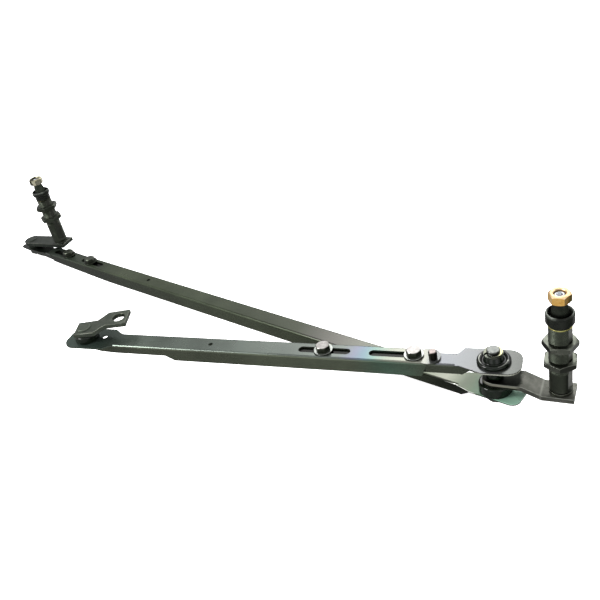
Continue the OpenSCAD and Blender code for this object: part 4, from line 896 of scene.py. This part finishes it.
# Floor, light and camera
# A pale sheet that glows a little under the linkage, a soft tent with one bright window behind the rods,
# pale walls all round and a darker corner low on the right, and a camera at the photograph's place.
FLOOR_SIZE = 14.0
FLOOR_GAP = 0.4 * MM
FLOOR_GLOW = 0.8
FLOOR_FIBRE = 40 * MM
WHITE = linear("#ffffff")
floor_paint, tree, sockets = new_material("pale_matt_backdrop", {"Roughness": 0.9, "Emission Color": WHITE,
                                                                 "Emission Strength": FLOOR_GLOW})
fibre = add(tree, "ShaderNodeTexNoise", {"Scale": 1 / FLOOR_FIBRE, "Detail": 3.0}, Vector=place_of(tree))
add(tree, "ShaderNodeValToRGB", {"stops": [(0.3, "#f7f7f6"), (0.7, "#fbfbfa")]}, to=sockets["Base Color"],
    Fac=fibre)
floor_mesh = bpy.data.meshes.new("floor")
floor_form = bmesh.new()
bmesh.ops.create_grid(floor_form, x_segments=8, y_segments=8, size=FLOOR_SIZE / 2)
floor_form.to_mesh(floor_mesh)
floor_form.free()
floor_mesh.materials.append(floor_paint)
floor = bpy.data.objects.new("floor", floor_mesh)
floor.location = ((cad_low.x + cad_high.x) / 2, (cad_low.y + cad_high.y) / 2, cad_low.z - FLOOR_GAP)
bpy.context.scene.collection.objects.link(floor)
floor.visible_glossy = False

# The sheet turns up into a white wall far behind, which only closes off the view and gets no end faces.
WALL_AROUND = 96
WALL_ROWS = ((5.6, 0.0), (6.1, 0.05), (6.5, 0.2), (6.8, 0.5), (6.95, 1.0), (7.0, 1.6), (7.0, 6.5))
WALL_GLOW = 1.0
wall_paint = new_material("white_matt_wall", {"Roughness": 0.9, "Base Color": linear("#f9f9f8"),
                                              "Emission Color": WHITE, "Emission Strength": WALL_GLOW})[0]
wall_points, wall_faces = turned_mesh([(r, z + cad_low.z) for r, z in WALL_ROWS], WALL_AROUND,
                                      floor.location.x, floor.location.y, False)
wall_mesh = bpy.data.meshes.new("wall")
wall_mesh.from_pydata(wall_points, [], wall_faces[:-2])
wall_mesh.polygons.foreach_set("use_smooth", [True] * len(wall_mesh.polygons))
wall_mesh.materials.append(wall_paint)
wall = bpy.data.objects.new("wall", wall_mesh)
bpy.context.scene.collection.objects.link(wall)
for ray in ("diffuse", "glossy", "transmission", "shadow"):
    setattr(wall, f"visible_{ray}", False)

# Each soft light is a direction, how much it adds there, and how fast it fades to the sides.
TENT_LEVEL = 0.5
SOFT_LIGHTS = (
    ("window behind the rods", (-0.43, 0.66, 0.62), 10.0, 0.0172),
    ("pale wall behind", (-0.10, 0.97, -0.20), 3.0, 0.03),
    ("fill low in front", (0.38, -0.72, -0.57), 0.4, 0.06),
    ("fill low on the right", (0.41, 0.64, -0.65), 0.5, 0.024),
    ("roof", (0.0, 0.0, 1.0), 2.0, 0.15),
    ("wall behind on the right", (0.35, 0.75, 0.56), 3.5, 0.045),
    ("wall in front", (0.0, -0.97, 0.26), 2.4, 0.05),
    ("wall in front on the right", (0.84, -0.48, 0.26), 2.4, 0.05),
    ("wall on the right", (0.84, 0.48, 0.26), 2.4, 0.05),
    ("wall on the left", (-0.84, -0.48, 0.26), 2.4, 0.05),
)
SHADE_TOWARDS = (0.77, 0.22, -0.60)
SHADE_LEVEL = 0.08
world = bpy.data.worlds.new("studio_tent")
world.use_nodes = True
sky = world.node_tree
background = sky.nodes["Background"]
background.inputs["Color"].default_value = WHITE
looking = add(sky, "ShaderNodeTexCoord").outputs["Generated"]
to_shade = add(sky, "ShaderNodeVectorMath", {"operation": "DOT_PRODUCT", 1: SHADE_TOWARDS}, _0=looking)
level = add(sky, "ShaderNodeMapRange",
            {"interpolation_type": "SMOOTHSTEP", "From Min": 0.8, "From Max": 0.95, "To Min": TENT_LEVEL,
             "To Max": SHADE_LEVEL}, Value=to_shade)
for label, towards, amount, spread in SOFT_LIGHTS:
    facing = add(sky, "ShaderNodeVectorMath", {"label": label, "operation": "DOT_PRODUCT", 1: towards},
                 _0=looking)
    fade = add(sky, "ShaderNodeMath", {"operation": "MULTIPLY_ADD", 1: 1 / spread, 2: -1 / spread},
               _0=facing)
    glow = add(sky, "ShaderNodeMath", {"operation": "EXPONENT"}, _0=fade)
    level = add(sky, "ShaderNodeMath", {"operation": "MULTIPLY_ADD", 1: amount}, _0=glow, _2=level)
sky.links.new(level.outputs[0], background.inputs["Strength"])
bpy.context.scene.world = world

KEY_AT = Vector((-1.5, -1.3, 1.6))
KEY_AIM = Vector((-0.4, 0, 0))
KEY_POWER = 60
KEY_SIZE = 0.9
key = bpy.data.objects.new("key", bpy.data.lights.new("key", "AREA"))
key.data.energy = KEY_POWER
key.data.shape = "DISK"
key.data.size = KEY_SIZE
key.location = KEY_AT
key.rotation_euler = (KEY_AIM - KEY_AT).to_track_quat("-Z", "Y").to_euler()
bpy.context.scene.collection.objects.link(key)

CAMERA_AT = (0.216369, -0.497286, 0.429982)
CAMERA_PAN = math.radians(46.0044)
CAMERA_TILT = math.radians(57.5642)
CAMERA_ROLL = math.radians(-13.2063)
CAMERA_LENS = 45.701
CAMERA_SENSOR = 36
CAMERA_NEAR = 0.01
camera = bpy.data.objects.new("camera", bpy.data.cameras.new("camera"))
camera.data.sensor_width = CAMERA_SENSOR
camera.data.lens = CAMERA_LENS
camera.data.clip_start = CAMERA_NEAR
turn = Euler((0, 0, CAMERA_PAN)).to_matrix() @ Euler((CAMERA_TILT, 0, 0)).to_matrix()
camera.rotation_euler = (turn @ Euler((0, 0, CAMERA_ROLL)).to_matrix()).to_euler()
camera.location = CAMERA_AT
bpy.context.scene.collection.objects.link(camera)
bpy.context.scene.camera = camera
bpy.context.scene.view_settings.view_transform = "Standard"
